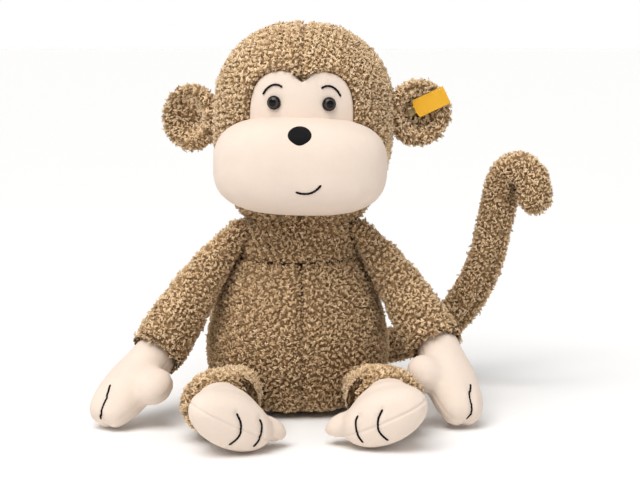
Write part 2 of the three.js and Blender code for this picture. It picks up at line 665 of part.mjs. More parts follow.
function addHand(side, sign, aim) {
  const profile = [
    [WRIST_RADIUS, 0],
    [WRIST_RADIUS, 5],
    [HAND_HALF_WIDTH - 1, 17],
    [HAND_HALF_WIDTH, 28],
    [HAND_HALF_WIDTH - 2, HAND_LENGTH - 16],
    [HAND_HALF_WIDTH * 0.6, HAND_LENGTH - 3],
    [0, HAND_LENGTH],
  ];
  const thumb = {
    half: vector(THUMB_RADIUS, THUMB_RADIUS * 0.9, THUMB_RADIUS * 1.2),
    place: [-sign * (HAND_HALF_WIDTH - 4), -2, 29],
  };
  const flatness = HAND_HALF_THICKNESS / HAND_HALF_WIDTH;
  const shape = (inset) => mitten(profile, flatness, thumb, inset);
  const names = [`hand_back_${side}`, `hand_palm_${side}`, `hand_stuffing_${side}`];
  addMitten(names, shape, aim, vector(sign * 0.5, -0.6, 1), WRIST[side], WRIST_RADIUS);
}

// ---------------------------------------------------------------- legs
function addLeg(side, sign) {
  const hip = hips[side];
  const ankle = ankles[side];
  const path = new THREE.LineCurve3(hip, ankle);
  const length = path.getLength();
  const flatness = LEG_HALF_HEIGHT / LEG_HALF_WIDTH;
  const middle = [
    [HIP_RADIUS + 2.5, length * 0.25],
    [LEG_HALF_WIDTH - 1.5, length * 0.65],
  ];
  const legEnd = length + LEG_HALF_WIDTH;
  const leg = (inset) =>
    solid(limb(limbOutline(HIP_RADIUS, middle, LEG_HALF_WIDTH, legEnd, 4, inset), path, LIMB, flatness));
  const along = path.getTangentAt(1);
  const turnIn = radians(FOOT_TURN_IN[side]);
  const down = Math.tan(radians(FOOT_DROOP));
  const forward = vector(-sign * Math.sin(turnIn), -Math.cos(turnIn), -down).normalize();
  const cuff = beyond(along.clone().add(forward), ankle.clone().addScaledVector(along, -LEG_SHORT));
  const wadRadius = HIP_RADIUS * flatness - PILE - FILL_GAP;
  const hole = rod(wadRadius * 0.6, HIP_RADIUS * 2, [hip.x, hip.y + HIP_RADIUS, hip.z]);
  const cover = leg(0).subtract(leg(PILE)).subtract(pocket(wadRadius + FILL_GAP, hip.toArray()));
  addPiece(monkey, `leg_cover_${side}`, cover.subtract(hole).subtract(cuff), "pile");
  addPiece(monkey, `hip_stuffing_${side}`, ball(wadRadius, hip.toArray(), 8), "fill");
  const rootRadius = LEG_HALF_HEIGHT - PILE - FILL_GAP - JOINT_GAP;
  const footRoom = pocket(rootRadius + JOINT_GAP, ankle.toArray());
  const fill = fillFrom(leg(PILE + FILL_GAP), path, wadRadius);
  addPiece(monkey, `leg_stuffing_${side}`, fill.subtract(footRoom).subtract(cuff), "fill");
  addFoot(side, sign, forward, rootRadius);
}

function addFoot(side, sign, forward, rootRadius) {
  const profile = [
    [rootRadius, 0],
    [rootRadius + 0.3, 5],
    [FOOT_HALF_WIDTH - 3, 14],
    [FOOT_HALF_WIDTH, 25],
    [FOOT_HALF_WIDTH * 0.72, FOOT_LENGTH - 4],
    [0, FOOT_LENGTH],
  ];
  const toe = {
    half: vector(TOE_RADIUS * 1.4, TOE_RADIUS * 0.8, TOE_RADIUS),
    place: [-sign * (FOOT_HALF_WIDTH - 1), 4, 15],
  };
  const flatness = FOOT_HALF_HEIGHT / FOOT_HALF_WIDTH;
  const shape = (inset) => mitten(profile, flatness, toe, inset);
  const names = [`foot_top_${side}`, `foot_sole_${side}`, `foot_stuffing_${side}`];
  const roll = radians(FOOT_ROLL[side]);
  const up = vector(-sign * Math.sin(roll), 0, Math.cos(roll));
  addMitten(names, shape, forward, up, ankles[side], rootRadius);
}

// ---------------------------------------------------------------- tail
// The tail leaves the back, runs along the floor to the monkey's left, rises and ends in a hook.
const tailPath = new THREE.CatmullRomCurve3(
  [
    [0, 0, 0],
    [5, 17, -1],
    [25, 28, -5],
    [55, 24, -8],
    [84, 14, -5],
    [110, 4, 6],
    [128, -4, 23],
    [141, -9, 44],
    [150, -12, 67],
    [155, -13, 91],
    [159, -14, 110],
    [161, -16, 122],
    [165, -21, 133],
    [173, -28, 137],
    [180, -34, 130],
    [182, -37, 118],
    [181, -38, 106],
  ].map(([x, y, z]) => vector(x, y, z).add(TAIL_ROOT)),
);

function addTail() {
  const length = tailPath.getLength();
  const tail = (inset) =>
    solid(limb(limbOutline(TAIL_RADIUS, [], TAIL_TIP_RADIUS, length, 20, inset), tailPath, LIMB));
  const wadRadius = TAIL_RADIUS - PILE - FILL_GAP;
  const root = TAIL_ROOT.toArray();
  const hole = rod(wadRadius * 0.6, TAIL_RADIUS * 2, [root[0], root[1] - TAIL_RADIUS, root[2]]);
  const cover = tail(0).subtract(tail(PILE)).subtract(pocket(wadRadius + FILL_GAP, root)).subtract(hole);
  addPiece(monkey, "tail_cover", cover, "pile");
  addPiece(monkey, "tail_root_stuffing", ball(wadRadius, root, 8), "fill");
  addPiece(monkey, "tail_stuffing", fillFrom(tail(PILE + FILL_GAP), tailPath, wadRadius), "fill");
}

addTorso();
addNeck();
addHead();
for (const [side, sign] of Object.entries(SIDES)) {
  addArm(side, sign);
  addLeg(side, sign);
}
addTail();

export default monkey;
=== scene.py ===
"""A sitting plush monkey: a body, head, arms, legs and tail of curly pile cloth, with a pale plush face,
hands and feet. Metres, Z up. It faces -Y, sits on the floor at Z = 0, and its own left side is at +X."""
import json
import math

import bmesh
import bpy
import numpy as np
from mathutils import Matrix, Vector


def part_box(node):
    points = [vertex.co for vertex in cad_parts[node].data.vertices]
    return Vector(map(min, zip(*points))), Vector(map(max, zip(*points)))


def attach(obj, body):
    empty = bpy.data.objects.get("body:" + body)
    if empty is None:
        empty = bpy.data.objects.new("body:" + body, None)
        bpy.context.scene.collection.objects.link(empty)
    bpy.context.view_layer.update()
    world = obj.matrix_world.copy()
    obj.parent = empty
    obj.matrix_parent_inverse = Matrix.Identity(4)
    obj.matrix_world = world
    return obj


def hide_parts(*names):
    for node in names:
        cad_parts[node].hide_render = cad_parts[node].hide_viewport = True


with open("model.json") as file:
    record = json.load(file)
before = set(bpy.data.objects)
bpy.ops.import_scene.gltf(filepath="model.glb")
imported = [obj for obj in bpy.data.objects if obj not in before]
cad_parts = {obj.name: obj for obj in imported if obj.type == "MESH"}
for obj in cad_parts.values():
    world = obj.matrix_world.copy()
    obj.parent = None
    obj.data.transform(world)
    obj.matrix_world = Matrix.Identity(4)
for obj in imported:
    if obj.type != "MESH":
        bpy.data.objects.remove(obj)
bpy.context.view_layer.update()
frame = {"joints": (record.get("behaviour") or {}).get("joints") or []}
joint_at = {joint["name"]: np.array(joint["pos_m"]) for joint in frame["joints"]}
MM = 0.001

# ---- Camera, light and floor ---------------------------------------------------------------------
# The toy is seen a little from its right and from just above its middle, through a long lens.
camera_distance = 1.2
camera_height = 0.27
camera_turn = math.radians(-4)
camera_pitch = math.radians(7.03)
camera_shift = 0.0167

camera = bpy.data.objects.new("camera", bpy.data.cameras.new("camera"))
bpy.context.scene.collection.objects.link(camera)
camera.location = (
    math.sin(camera_turn) * camera_distance + math.cos(camera_turn) * camera_shift,
    -math.cos(camera_turn) * camera_distance + math.sin(camera_turn) * camera_shift,
    camera_height,
)
camera.rotation_euler = (math.pi / 2 - camera_pitch, 0, camera_turn)
camera.data.lens = 92
camera.data.sensor_width = 36
bpy.context.scene.camera = camera
bpy.context.scene.view_settings.view_transform = "Standard"


def soft_light(name, kind, place, power, spread, tint):
    """A lamp at a place, turned to the middle of the toy. spread is an area lamp's side, or a sun's
    angle."""
    lamp = bpy.data.lights.new(name, kind)
    if kind == "SUN":
        lamp.angle = spread
    else:
        lamp.size = spread
    lamp.energy = power
    lamp.color = tint
    holder = bpy.data.objects.new(name, lamp)
    bpy.context.scene.collection.objects.link(holder)
    holder.location = place
    holder.rotation_euler = (Vector((0, 0, 0.13)) - holder.location).to_track_quat("-Z", "Y").to_euler()


soft_light("ceiling_light", "SUN", (-0.35, -0.55, 1.4), 2.3, math.radians(50), (1, 0.99, 0.975))
soft_light("key_light", "AREA", (-0.55, -0.9, 1.2), 2, 0.4, (1, 0.985, 0.96))


def add_node(tree, kind, inputs, **settings):
    """A new node in a tree, with its settings set. Each of its inputs gets a value, or a link from an
    output."""
    node = tree.nodes.new(kind)
    for name, value in settings.items():
        setattr(node, name, value)
    for name, value in inputs.items():
        if isinstance(value, bpy.types.NodeSocket):
            tree.links.new(value, node.inputs[name])
        else:
            node.inputs[name].default_value = value
    return node


def add_ramp(tree, factor, stops):
    """The colour output of a ramp that a factor runs along. Its stops are [place, red, green, blue] rows."""
    ramp = add_node(tree, "ShaderNodeValToRGB", {"Fac": factor})
    for stop in stops[1:-1]:
        ramp.color_ramp.elements.new(stop[0])
    for element, (place, *colour) in zip(ramp.color_ramp.elements, stops):
        element.position = place
        element.color = (*colour, 1)
    return ramp.outputs["Color"]


# The room is bright round its horizon and dimmer above, so that the toy is lit mostly by the ceiling.
world = bpy.data.worlds.new("studio")
world.use_nodes = True
way = add_node(world.node_tree, "ShaderNodeTexCoord", {})
height = add_node(world.node_tree, "ShaderNodeSeparateXYZ", {"Vector": way.outputs["Generated"]})
room = add_ramp(world.node_tree, height.outputs["Z"], [(0.04, 1, 1, 1), (0.16, 0.46, 0.46, 0.46)])
world.node_tree.links.new(room, world.node_tree.nodes["Background"].inputs["Color"])
bpy.context.scene.world = world

floor_mesh = bpy.data.meshes.new("floor")
floor_mesh.from_pydata([(-40, -40, 0), (40, -40, 0), (40, 40, 0), (-40, 40, 0)], [], [(0, 1, 2, 3)])
floor = bpy.data.objects.new("floor", floor_mesh)
bpy.context.scene.collection.objects.link(floor)
floor_paint = bpy.data.materials.new("floor")
floor_paint.use_nodes = True
floor_paint.node_tree.nodes["Principled BSDF"].inputs["Base Color"].default_value = (0.94, 0.94, 0.94, 1)
floor_paint.node_tree.nodes["Principled BSDF"].inputs["Roughness"].default_value = 0.7
floor.data.materials.append(floor_paint)

# ---- Body: curly pile cloth ----------------------------------------------------------------------
# The body is a pear sewn from a chest panel, two belly panels and two back panels, over loose filling. The
# cloth is a knitted backing with a dense pile of short curls, which gather in clumps and hide the seams.
PILE_DEPTH = 2.2 * MM  # from the tips of the curls down to the backing
CURL_LENGTH = 3.5 * MM
CURL_WIDTH = 0.8 * MM  # half of a curl's width
CURL_SPACING = 1.5 * MM
CLUMP = 4.2 * MM  # across a clump
SEAM_DIP = 3.6 * MM  # how much deeper the backing lies at a seam
SEAM_REACH = 2.5 * MM  # how far from the seam it dips
BARE_DIP = 5 * MM  # how much deeper it lies where nothing grows


def through(points, count):
    """A smooth curve through points: between two of them a cubic whose end slopes are half the step from the
    point before to the point after. It returns count points, evenly spread along the curve."""
    p = np.asarray(points, float)
    p = np.vstack([2 * p[0] - p[1], p, 2 * p[-1] - p[-2]])
    a, b, c, d = p[:-3], p[1:-2], p[2:-1], p[3:]
    t = np.linspace(0, 1, 24, endpoint=False)[:, None, None]
    curve = b + t * (c - a) / 2 + t**2 * (a - 2.5 * b + 2 * c - d / 2) + t**3 * (1.5 * (b - c) + (d - a) / 2)
    curve = np.vstack([curve.transpose(1, 0, 2).reshape(-1, p.shape[1]), p[-2]])
    run = np.concatenate([[0], np.cumsum(np.linalg.norm(np.diff(curve, axis=0), axis=1))])
    stops = np.linspace(0, run[-1], count)
    return np.stack([np.interp(stops, run, column) for column in curve.T], axis=-1)


def unit(v):
    """A vector over its length."""
    return v / np.maximum(np.linalg.norm(v, axis=-1, keepdims=True), 1e-12)


def outward(surface, closed=False):
    """The cross product of a grid's two directions at each point: along a row, then from row to row."""
    if closed:
        across = np.roll(surface, -1, axis=1) - np.roll(surface, 1, axis=1)
    else:
        across = np.gradient(surface, axis=1)
    return unit(np.cross(across, np.gradient(surface, axis=0)))


def grid_faces(rows, columns, closed=False):
    """The four corners of each cell of a grid, anticlockwise seen from outside."""
    row = np.arange(rows - 1)[:, None] * columns
    column = np.arange(columns if closed else columns - 1)[None, :]
    beside = (column + 1) % columns
    corners = [row + column, row + beside, row + columns + beside, row + columns + column]
    return np.stack(corners, axis=-1).reshape(-1, 4)


def clumps(points, seed):
    """A sum of sixteen waves in random directions, one clump long: its height at each point and its
    slope."""
    rng = np.random.default_rng(seed)
    direction = unit(rng.normal(size=(16, 3)))
    waves = direction * (2 * np.pi / CLUMP * rng.uniform(0.7, 1.5, (16, 1)))
    phase = points @ waves.T + rng.uniform(0, 2 * np.pi, 16)
    return np.cos(phase).sum(-1) / 4, -np.sin(phase) @ waves * (CLUMP / 16)


def spread_over(surface, normal, extra, spacing, rng, closed):
    """Random points on a grid, one for each square of the spacing: equal steps along the running sum of its
    cells' areas, and then a random place in the cell between its four corners."""
    if closed:
        surface = np.concatenate([surface, surface[:, :1]], axis=1)
        normal = np.concatenate([normal, normal[:, :1]], axis=1)
        extra = np.concatenate([extra, extra[:, :1]], axis=1)
    low, right = surface[:-1, :-1], surface[:-1, 1:]
    up = surface[1:, :-1]
    area = np.linalg.norm(np.cross(right - low, up - low), axis=-1).ravel()
    run = np.cumsum(area)
    count = int(run[-1] / spacing**2)
    cell = np.searchsorted(run, (np.arange(count) + rng.random(count)) / count * run[-1])
    cell = np.minimum(cell, len(area) - 1)
    i, j = np.divmod(cell, surface.shape[1] - 1)
    s, t = rng.random((2, count, 1))

    def between(field):
        low_row = field[i, j] * (1 - s) + field[i, j + 1] * s
        return low_row * (1 - t) + (field[i + 1, j] * (1 - s) + field[i + 1, j + 1] * s) * t

    return between(surface), unit(between(normal)), between(extra[..., None])[:, 0]


def curls(root, normal, length, seed):
    """One short lock of pile at each root. Its middle line starts near the normal and bends over in three
    steps towards the top of its clump; three rings of three points round it and a tip make its faces."""
    rng = np.random.default_rng(seed)
    count = len(root)
    height, slope = clumps(root, seed + 1)
    lean = slope + rng.normal(scale=0.32, size=(count, 3))
    lean = unit(lean - (lean * normal).sum(-1, keepdims=True) * normal)
    side = np.cross(normal, lean)
    length = length * (1 + 0.25 * height + rng.uniform(-0.15, 0.15, count))
    bend = np.radians(np.stack([rng.uniform(*span, count) for span in ((0, 40), (25, 70), (55, 130))]))
    step = np.array([0.45, 0.33, 0.22])[:, None] * length
    centre = root - normal * 0.8 * MM
    rings = []
    for level, share in enumerate((1.15, 1.0, 0.68)):
        along = np.cos(bend[level])[:, None] * normal + np.sin(bend[level])[:, None] * lean
        over = np.cross(along, side)
        width = (CURL_WIDTH * share * rng.uniform(0.8, 1.2, count))[:, None]
        for angle in np.arange(3) * np.pi * 2 / 3 + np.pi / 2:
            rings.append(centre + width * (np.cos(angle) * side + np.sin(angle) * over))
        centre = centre + along * step[level][:, None]
    rings.append(centre)
    points = np.stack(rings, axis=1).reshape(-1, 3)
    ring = np.arange(3)
    beside = (ring + 1) % 3
    walls = np.concatenate(
        [np.stack([ring + k, beside + k, beside + k + 3, ring + k + 3], axis=-1) for k in (0, 3)]
    )
    tip = np.stack([ring + 6, beside + 6, np.full(3, 9)], axis=-1)
    first = (np.arange(count) * 10)[:, None, None]
    # Painted shade: a curl's tone is darkest at its root, deep in the pile, and lower in its clump's
    # hollows; it also varies a little at random.
    shade = np.repeat([0.12, 0.55, 0.86, 1.0], [3, 3, 3, 1])[None, :]
    tone = shade * (0.9 + 0.22 * height + rng.uniform(-0.06, 0.06, count))[:, None]
    return points, (walls + first).reshape(-1, 4), (tip + first).reshape(-1, 3), tone.ravel()


def pile_panel(
    name, body, surface, seam, seed, shade, closed=False, length=CURL_LENGTH, bare=0, spacing=CURL_SPACING
):
    """Pile cloth along a grid that the tips of its curls reach, riding on a body. seam is each point's
    distance from the nearest seam: there the curls are shorter, and the backing lies deeper by SEAM_DIP
    times e to the minus square of the distance over SEAM_REACH. bare is 1 where nothing grows. The tone
    attribute is painted shade: it runs from 0 at roots to shade at tips, and is lower on the backing at
    seams and in the clumps' hollows. shade is painted light for the whole panel, lighter or darker as the
    light falls on that part of the toy. The curls are lit softly, as a deep pile is: their normals lie
    between their own and the panel's."""
    near = np.exp(-((seam / SEAM_REACH) ** 2))
    height = clumps(surface, seed + 1)[0]
    depth = PILE_DEPTH + SEAM_DIP * near - 0.7 * MM * height + BARE_DIP * bare
    backing = surface - outward(surface, closed) * depth[..., None]
    normal = outward(backing, closed)
    grows = (1 - 0.45 * near) * (1 - bare)
    rng = np.random.default_rng(seed)
    root, up, grows = spread_over(backing, normal, grows, spacing, rng, closed)
    kept = grows > 0.5
    points, walls, tips, tone = curls(root[kept], up[kept], length * grows[kept], seed)
    rows, columns = surface.shape[:2]
    faces = [grid_faces(rows, columns, closed), walls + rows * columns, tips + rows * columns]
    mesh = bpy.data.meshes.new(name)
    corners = np.concatenate([f.ravel() for f in faces])
    sizes = np.concatenate([np.full(len(f), f.shape[1]) for f in faces])
    every_point = np.vstack([backing.reshape(-1, 3), points])
    mesh.vertices.add(len(every_point))
    mesh.vertices.foreach_set("co", every_point.ravel())
    mesh.loops.add(len(corners))
    mesh.loops.foreach_set("vertex_index", corners.astype(np.int32))
    mesh.polygons.add(len(sizes))
    mesh.polygons.foreach_set("loop_start", (np.cumsum(sizes) - sizes).astype(np.int32))
    mesh.polygons.foreach_set("use_smooth", np.ones(len(sizes), bool))
    mesh.update(calc_edges=True)
    own = np.empty(len(every_point) * 3)
    mesh.vertices.foreach_get("normal", own)
    panel = np.vstack([normal.reshape(-1, 3), np.repeat(up[kept], 10, axis=0)])
    mesh.normals_split_custom_set_from_vertices(unit(0.5 * own.reshape(-1, 3) + 0.5 * panel))
    attribute = mesh.attributes.new("tone", "FLOAT", "POINT")
    # The backing's tone is painted shade: dark, and darker in the clumps' hollows and along the seams. The
    # panel's shade scales all of it as painted light.
    backing_painted_shade = (0.2 + 0.12 * height - 0.1 * near).ravel()
    tone = np.concatenate([backing_painted_shade, tone]) * shade
    attribute.data.foreach_set("value", tone.clip(0, 1.2).astype(np.float32))
    mesh.materials.append(brown_pile)
    piece = bpy.data.objects.new(name, mesh)
    bpy.context.scene.collection.objects.link(piece)
    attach(piece, body)
    return piece


def new_material(name, roughness, sheen, sheen_tint):
    """A material with its cloth's sheen set, and its links, nodes and shader at hand."""
    material = bpy.data.materials.new(name)
    material.use_nodes = True
    shader = material.node_tree.nodes["Principled BSDF"]
    shader.inputs["Roughness"].default_value = roughness
    shader.inputs["Sheen Weight"].default_value = sheen
    shader.inputs["Sheen Roughness"].default_value = 0.45
    shader.inputs["Sheen Tint"].default_value = (*sheen_tint, 1)
    return material, material.node_tree, shader


def fibre_group():
    """Fine cloth hairs, for any cloth: noise on Object coordinates, once fine for the height of a bump and
    once broad for a mottle of its colour. Scale is in hairs a metre."""
    group = bpy.data.node_groups.new("fibres", "ShaderNodeTree")
    group.interface.new_socket("Colour", in_out="INPUT", socket_type="NodeSocketColor")
    group.interface.new_socket("Scale", in_out="INPUT", socket_type="NodeSocketFloat")
    group.interface.new_socket("Mottle", in_out="INPUT", socket_type="NodeSocketFloat")
    group.interface.new_socket("Colour", in_out="OUTPUT", socket_type="NodeSocketColor")
    group.interface.new_socket("Height", in_out="OUTPUT", socket_type="NodeSocketFloat")
    given = add_node(group, "NodeGroupInput", {}).outputs
    place = add_node(group, "ShaderNodeTexCoord", {}).outputs["Object"]
    fine = {"Vector": place, "Scale": given["Scale"], "Detail": 3, "Distortion": 0.6}
    hairs = add_node(group, "ShaderNodeTexNoise", fine).outputs["Fac"]
    broad = {"Vector": place, "Scale": 85, "Detail": 4}
    patches = add_node(group, "ShaderNodeTexNoise", broad).outputs["Fac"]
    # The colour is scaled by 1 + mottle * (hairs + patches - 1).
    both = add_node(group, "ShaderNodeMath", {0: hairs, 1: patches}, operation="ADD").outputs[0]
    level = add_node(group, "ShaderNodeMath", {0: given["Mottle"], 1: -1, 2: 1}, operation="MULTIPLY_ADD")
    swing = {0: both, 1: given["Mottle"], 2: level.outputs[0]}
    share = add_node(group, "ShaderNodeMath", swing, operation="MULTIPLY_ADD").outputs[0]
    shade = add_node(group, "ShaderNodeVectorMath", {0: given["Colour"], "Scale": share}, operation="SCALE")
    add_node(group, "NodeGroupOutput", {"Colour": shade.outputs[0], "Height": hairs})
    return group


fibres = fibre_group()


def add_fibres(tree, shader, colour, scale, mottle, depth, strength):
    """Feeds a colour, a socket or a value, through the fibres into the shader, with a bump that deep."""
    given = {"Colour": colour, "Scale": scale, "Mottle": mottle}
    group = add_node(tree, "ShaderNodeGroup", given, node_tree=fibres)
    relief = {"Distance": depth, "Strength": strength, "Height": group.outputs["Height"]}
    bump = add_node(tree, "ShaderNodeBump", relief)
    tree.links.new(group.outputs["Colour"], shader.inputs["Base Color"])
    tree.links.new(bump.outputs["Normal"], shader.inputs["Normal"])


def pile_cloth():
    """Brown curls, sandy at their tips: the tone attribute runs them down to near black at their roots, as
    painted shade deep in the pile.
    """
    material, tree, shader = new_material("brown_pile", 0.95, 0.08, (1, 0.8, 0.6))
    tone = add_node(tree, "ShaderNodeAttribute", {}, attribute_name="tone").outputs["Fac"]
    stops = [
        (0.0, 0.065, 0.033, 0.013),
        (0.35, 0.33, 0.2, 0.094),
        (0.7, 0.67, 0.455, 0.25),
        (1.0, 0.93, 0.71, 0.47),
    ]
    add_fibres(tree, shader, add_ramp(tree, tone, stops), 1700, 0.35, 0.4 * MM, 0.5)
    return material


brown_pile = pile_cloth()
seat_radius = 50 * MM
belly_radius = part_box("belly_panel_left")[1].x
belly_height = 42 * MM
chest_radius = 46.5 * MM
chest_height = 117 * MM
chest_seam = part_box("belly_panel_left")[1].z
neck = joint_at["neck_turn"]
neck_dome = 54 * MM
body_outline = [
    (seat_radius, 0.5 * MM),
    (belly_radius * 0.91, belly_height * 0.28),
    (belly_radius, belly_height),
    (belly_radius * 0.68 + chest_radius * 0.32, (belly_height + chest_height) / 2),
    (chest_radius, chest_height),
    (neck_dome * 0.81, neck[2] + neck_dome * 0.6),
    (neck_dome * 0.73, neck[2] + neck_dome * 0.75),
    (neck_dome * 0.4, neck[2] + neck_dome * 0.88),
]


def body_panel(name, angles, low, high, seed, free_high=False):
    """A part of the body's outline turned about Z, between two angles and two heights. The chest seam
    gathers it: a wave 26 times round, 0.9 mm deep, that fades over 9 mm. free_high says that its top edge is
    no seam."""
    outline = through(body_outline, 400)
    level = np.linspace(max(low, outline[0, 1]), high, int((high - low) / (2.2 * MM)))
    outline = np.stack([np.interp(level, outline[:, 1], outline[:, 0]), level], axis=-1)
    angle = np.radians(np.linspace(*angles, int(abs(angles[1] - angles[0]) * 0.6) + 2))
    fade = np.exp(-np.abs(outline[:, 1:] - chest_seam) / (9 * MM))
    radius = outline[:, :1] + 0.9 * MM * fade * np.cos(angle * 26)
    surface = np.stack([radius * np.cos(angle), radius * np.sin(angle), outline[:, 1:] + 0 * angle], axis=-1)
    to_side = np.minimum(angle - angle[0], angle[-1] - angle) * radius
    to_low = outline[:, 1:] - outline[0, 1]
    to_high = outline[-1, 1] - outline[:, 1:] + free_high
    seam = np.minimum(to_side, np.minimum(to_low, to_high))
    # The body's pile is painted darker than the head's: painted shade, as the light falls from above.
    piece = pile_panel(name, "torso", surface, seam, seed, shade=0.9)
    return piece


outline_top = body_outline[-1][1]
chest = body_panel("chest_cloth", (180, 360), chest_seam, outline_top, 11, free_high=True)
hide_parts("chest_panel", "torso_stuffing", "neck_stuffing", "neck_thread")
for side, angles, seed in (("left", (270, 360), 21), ("right", (180, 270), 31)):
    belly = body_panel(f"belly_cloth_{side}", angles, 0, chest_seam, seed)
    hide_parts(f"belly_panel_{side}")
for side, angles, seed in (("left", (0, 90), 41), ("right", (90, 180), 51)):
    back = body_panel(f"back_cloth_{side}", angles, 0, outline_top, seed, free_high=True)
    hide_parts(f"back_panel_{side}")

# The seat is a round panel of the same cloth, pressed flat, over the bag of pellets.
turn = np.linspace(0, 2 * np.pi, 72, endpoint=False)
ring, turn = np.meshgrid(np.linspace(0.02, 1, 24), turn, indexing="ij")
seat_x = seat_radius * ring * np.cos(turn)
seat_y = seat_radius * ring * np.sin(turn)
seat_grid = np.stack([seat_x, seat_y, 0.8 * MM + 3.6 * MM * ring**6], axis=-1)
seat_seam = seat_radius * (1 - ring)
# The seat's pile is painted darker, as the body's is: painted shade.
seat = pile_panel("seat_cloth", "torso", seat_grid, seat_seam, 61, 0.9, closed=True, length=3 * MM)
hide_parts("seat_panel", "pellet_bag")

# ---- Head: two halves of pile cloth with a seam over the crown -----------------------------------
# The head is an egg, a little shallower than it is wide, and sits turned and tilted on the neck's wad. Its
# halves are cut out round the face panel and the muzzle, where the pile hangs over the edge.
head_radius = 66.5 * MM
head_depth_share = 0.94
head_widest = 99 * MM  # above the neck's centre
head_top = 184 * MM  # above the neck's centre
head_shift = 1.5 * MM
head_turn = -5
head_tilt = 1.5
head_outline = [
    (32 * MM, 34 * MM),
    (45 * MM, 43 * MM),
    (head_radius * 0.88, 66 * MM),
    (head_radius, head_widest),
    (head_radius * 0.965, head_top - 47 * MM),
    (head_radius * 0.78, head_top - 22 * MM),
    (head_radius * 0.42, head_top - 5 * MM),
    (0.3 * MM, head_top),
]
muzzle_half = np.array([61.5, 41, 34.8]) * MM
muzzle_height = 82 * MM
muzzle_forward = head_radius * head_depth_share - 15.5 * MM
muzzle_centre = [0, -muzzle_forward, muzzle_height]
muzzle_squareness = 2.85
face_half_width = 38 * MM
face_top = 150 * MM
face_notch = 9 * MM
face_squareness = 3.4


def turned_by(axis, degrees):
    """The matrix that turns a point about the X, Y or Z axis."""
    first, second = {"X": (1, 2), "Y": (2, 0), "Z": (0, 1)}[axis]
    matrix = np.eye(3)
    matrix[first, first] = matrix[second, second] = math.cos(math.radians(degrees))
    matrix[second, first] = math.sin(math.radians(degrees))
    matrix[first, second] = -matrix[second, first]
    return matrix


head_turned = turned_by("Z", head_turn) @ turned_by("Y", head_tilt)


def on_head(points):
    """From the head's own frame, whose origin is the neck's centre, to the toy's."""
    return points @ head_turned.T + neck + [head_shift, 0, 0]


def off_head(points):
    """From the toy's frame back to the head's own."""
    return (points - neck - [head_shift, 0, 0]) @ head_turned


def points_of(mesh):
    """A mesh's points as an array."""
    points = np.empty(len(mesh.vertices) * 3)
    mesh.vertices.foreach_get("co", points)
    return points.reshape(-1, 3)


def in_muzzle(points):
    """How far out a point lies in the muzzle: 0 at its centre and 1 at its skin, the sum of each
    coordinate's share of its half size, to the power of the squareness."""
    share = np.abs(points - muzzle_centre) / muzzle_half
    return (share**muzzle_squareness).sum(-1) ** (1 / muzzle_squareness)


def in_face(points):
    """How far out a point lies in the face's outline, 1 at its edge: a squared oval from the muzzle's middle
    up, with its top pulled down in the middle by the notch."""
    x, z = points[..., 0], points[..., 2]
    middle = 108 * MM
    top = face_top - middle - face_notch * np.exp(-np.abs(x / (7 * MM)) ** 1.4)
    share = (np.abs(x) / face_half_width) ** face_squareness
    share = share + np.maximum((z - middle) / top, 0) ** face_squareness
    return np.where((points[..., 1] < 0) & (z > muzzle_height), share ** (1 / face_squareness), 3)


outline = through(head_outline, 84)
for side, angles, seed in (("left", (-90, 90), 71), ("right", (90, 270), 81)):
    angle = np.radians(np.linspace(*angles, 96))
    radius = outline[:, :1]
    y = head_depth_share * radius * np.sin(angle)
    grid = np.stack([radius * np.cos(angle), y, outline[:, 1:] + 0 * angle], axis=-1)
    inside = np.minimum(in_face(grid), in_muzzle(grid))
    bare = np.clip((1.02 - inside) * 40, 0, 1)
    seam = np.minimum(angle - angle[0], angle[-1] - angle) * radius
    # Round the face the pile is thicker, and its edge stands out over the panel.
    rim = np.exp(-(((in_face(grid) - 1.06) / 0.07) ** 2)) * (inside > 1)
    grid = grid + outward(grid) * (1.6 * MM * rim)[..., None]
    # The head's pile is painted lighter than the body's: painted light from above.
    cover = pile_panel(f"head_cloth_{side}", "head", on_head(grid), seam, seed, shade=1.08, bare=bare)
    # The pile low on the head, round the neck and under the muzzle, is painted darker, down to 0.7 of its
    # tone: painted shade, fading out from 50 to 75 mm above the neck.
    height = points_of(cover.data)[:, 2]
    painted_shade_low_on_head = 0.7 + 0.3 * np.clip((height - neck[2] - 50 * MM) / (25 * MM), 0, 1)
    tone = np.empty(len(cover.data.vertices), np.float32)
    cover.data.attributes["tone"].data.foreach_get("value", tone)
    cover.data.attributes["tone"].data.foreach_set("value", tone * painted_shade_low_on_head.astype(np.float32))
    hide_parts(f"head_cover_{side}", *(["head_stuffing"] if side == "left" else []))

# ---- Face panel: pale plush ----------------------------------------------------------------------
# A short smooth plush, sewn into the opening of the head with two arches that meet at the pile's peak. The
# eyes' shanks pull it in a little.
face_sink = 2.8 * MM  # how deep it lies under the tips of the pile
eye_spacing = 38.5 * MM
eye_height = 126 * MM
eye_radius = 5 * MM


def plush_cloth(name, colour):
    """Short dense plush: a pale colour, hardly mottled, with a fine nap."""
    material, tree, shader = new_material(name, 0.9, 0.12, (1, 0.9, 0.82))
    add_fibres(tree, shader, colour, 1500, 0.09, 0.12 * MM, 0.6)
    return material


pale_plush = plush_cloth("pale_plush", (0.79, 0.66, 0.56, 1))


def head_forward(x, height):
    """How far in front of the neck's axis the head's skin is: its turned outline's radius at that height,
    less what a circle loses sideways."""
    radius = np.interp(height, outline[:, 1], outline[:, 0])
    return head_depth_share * np.sqrt(np.maximum(radius**2 - x**2, 0))


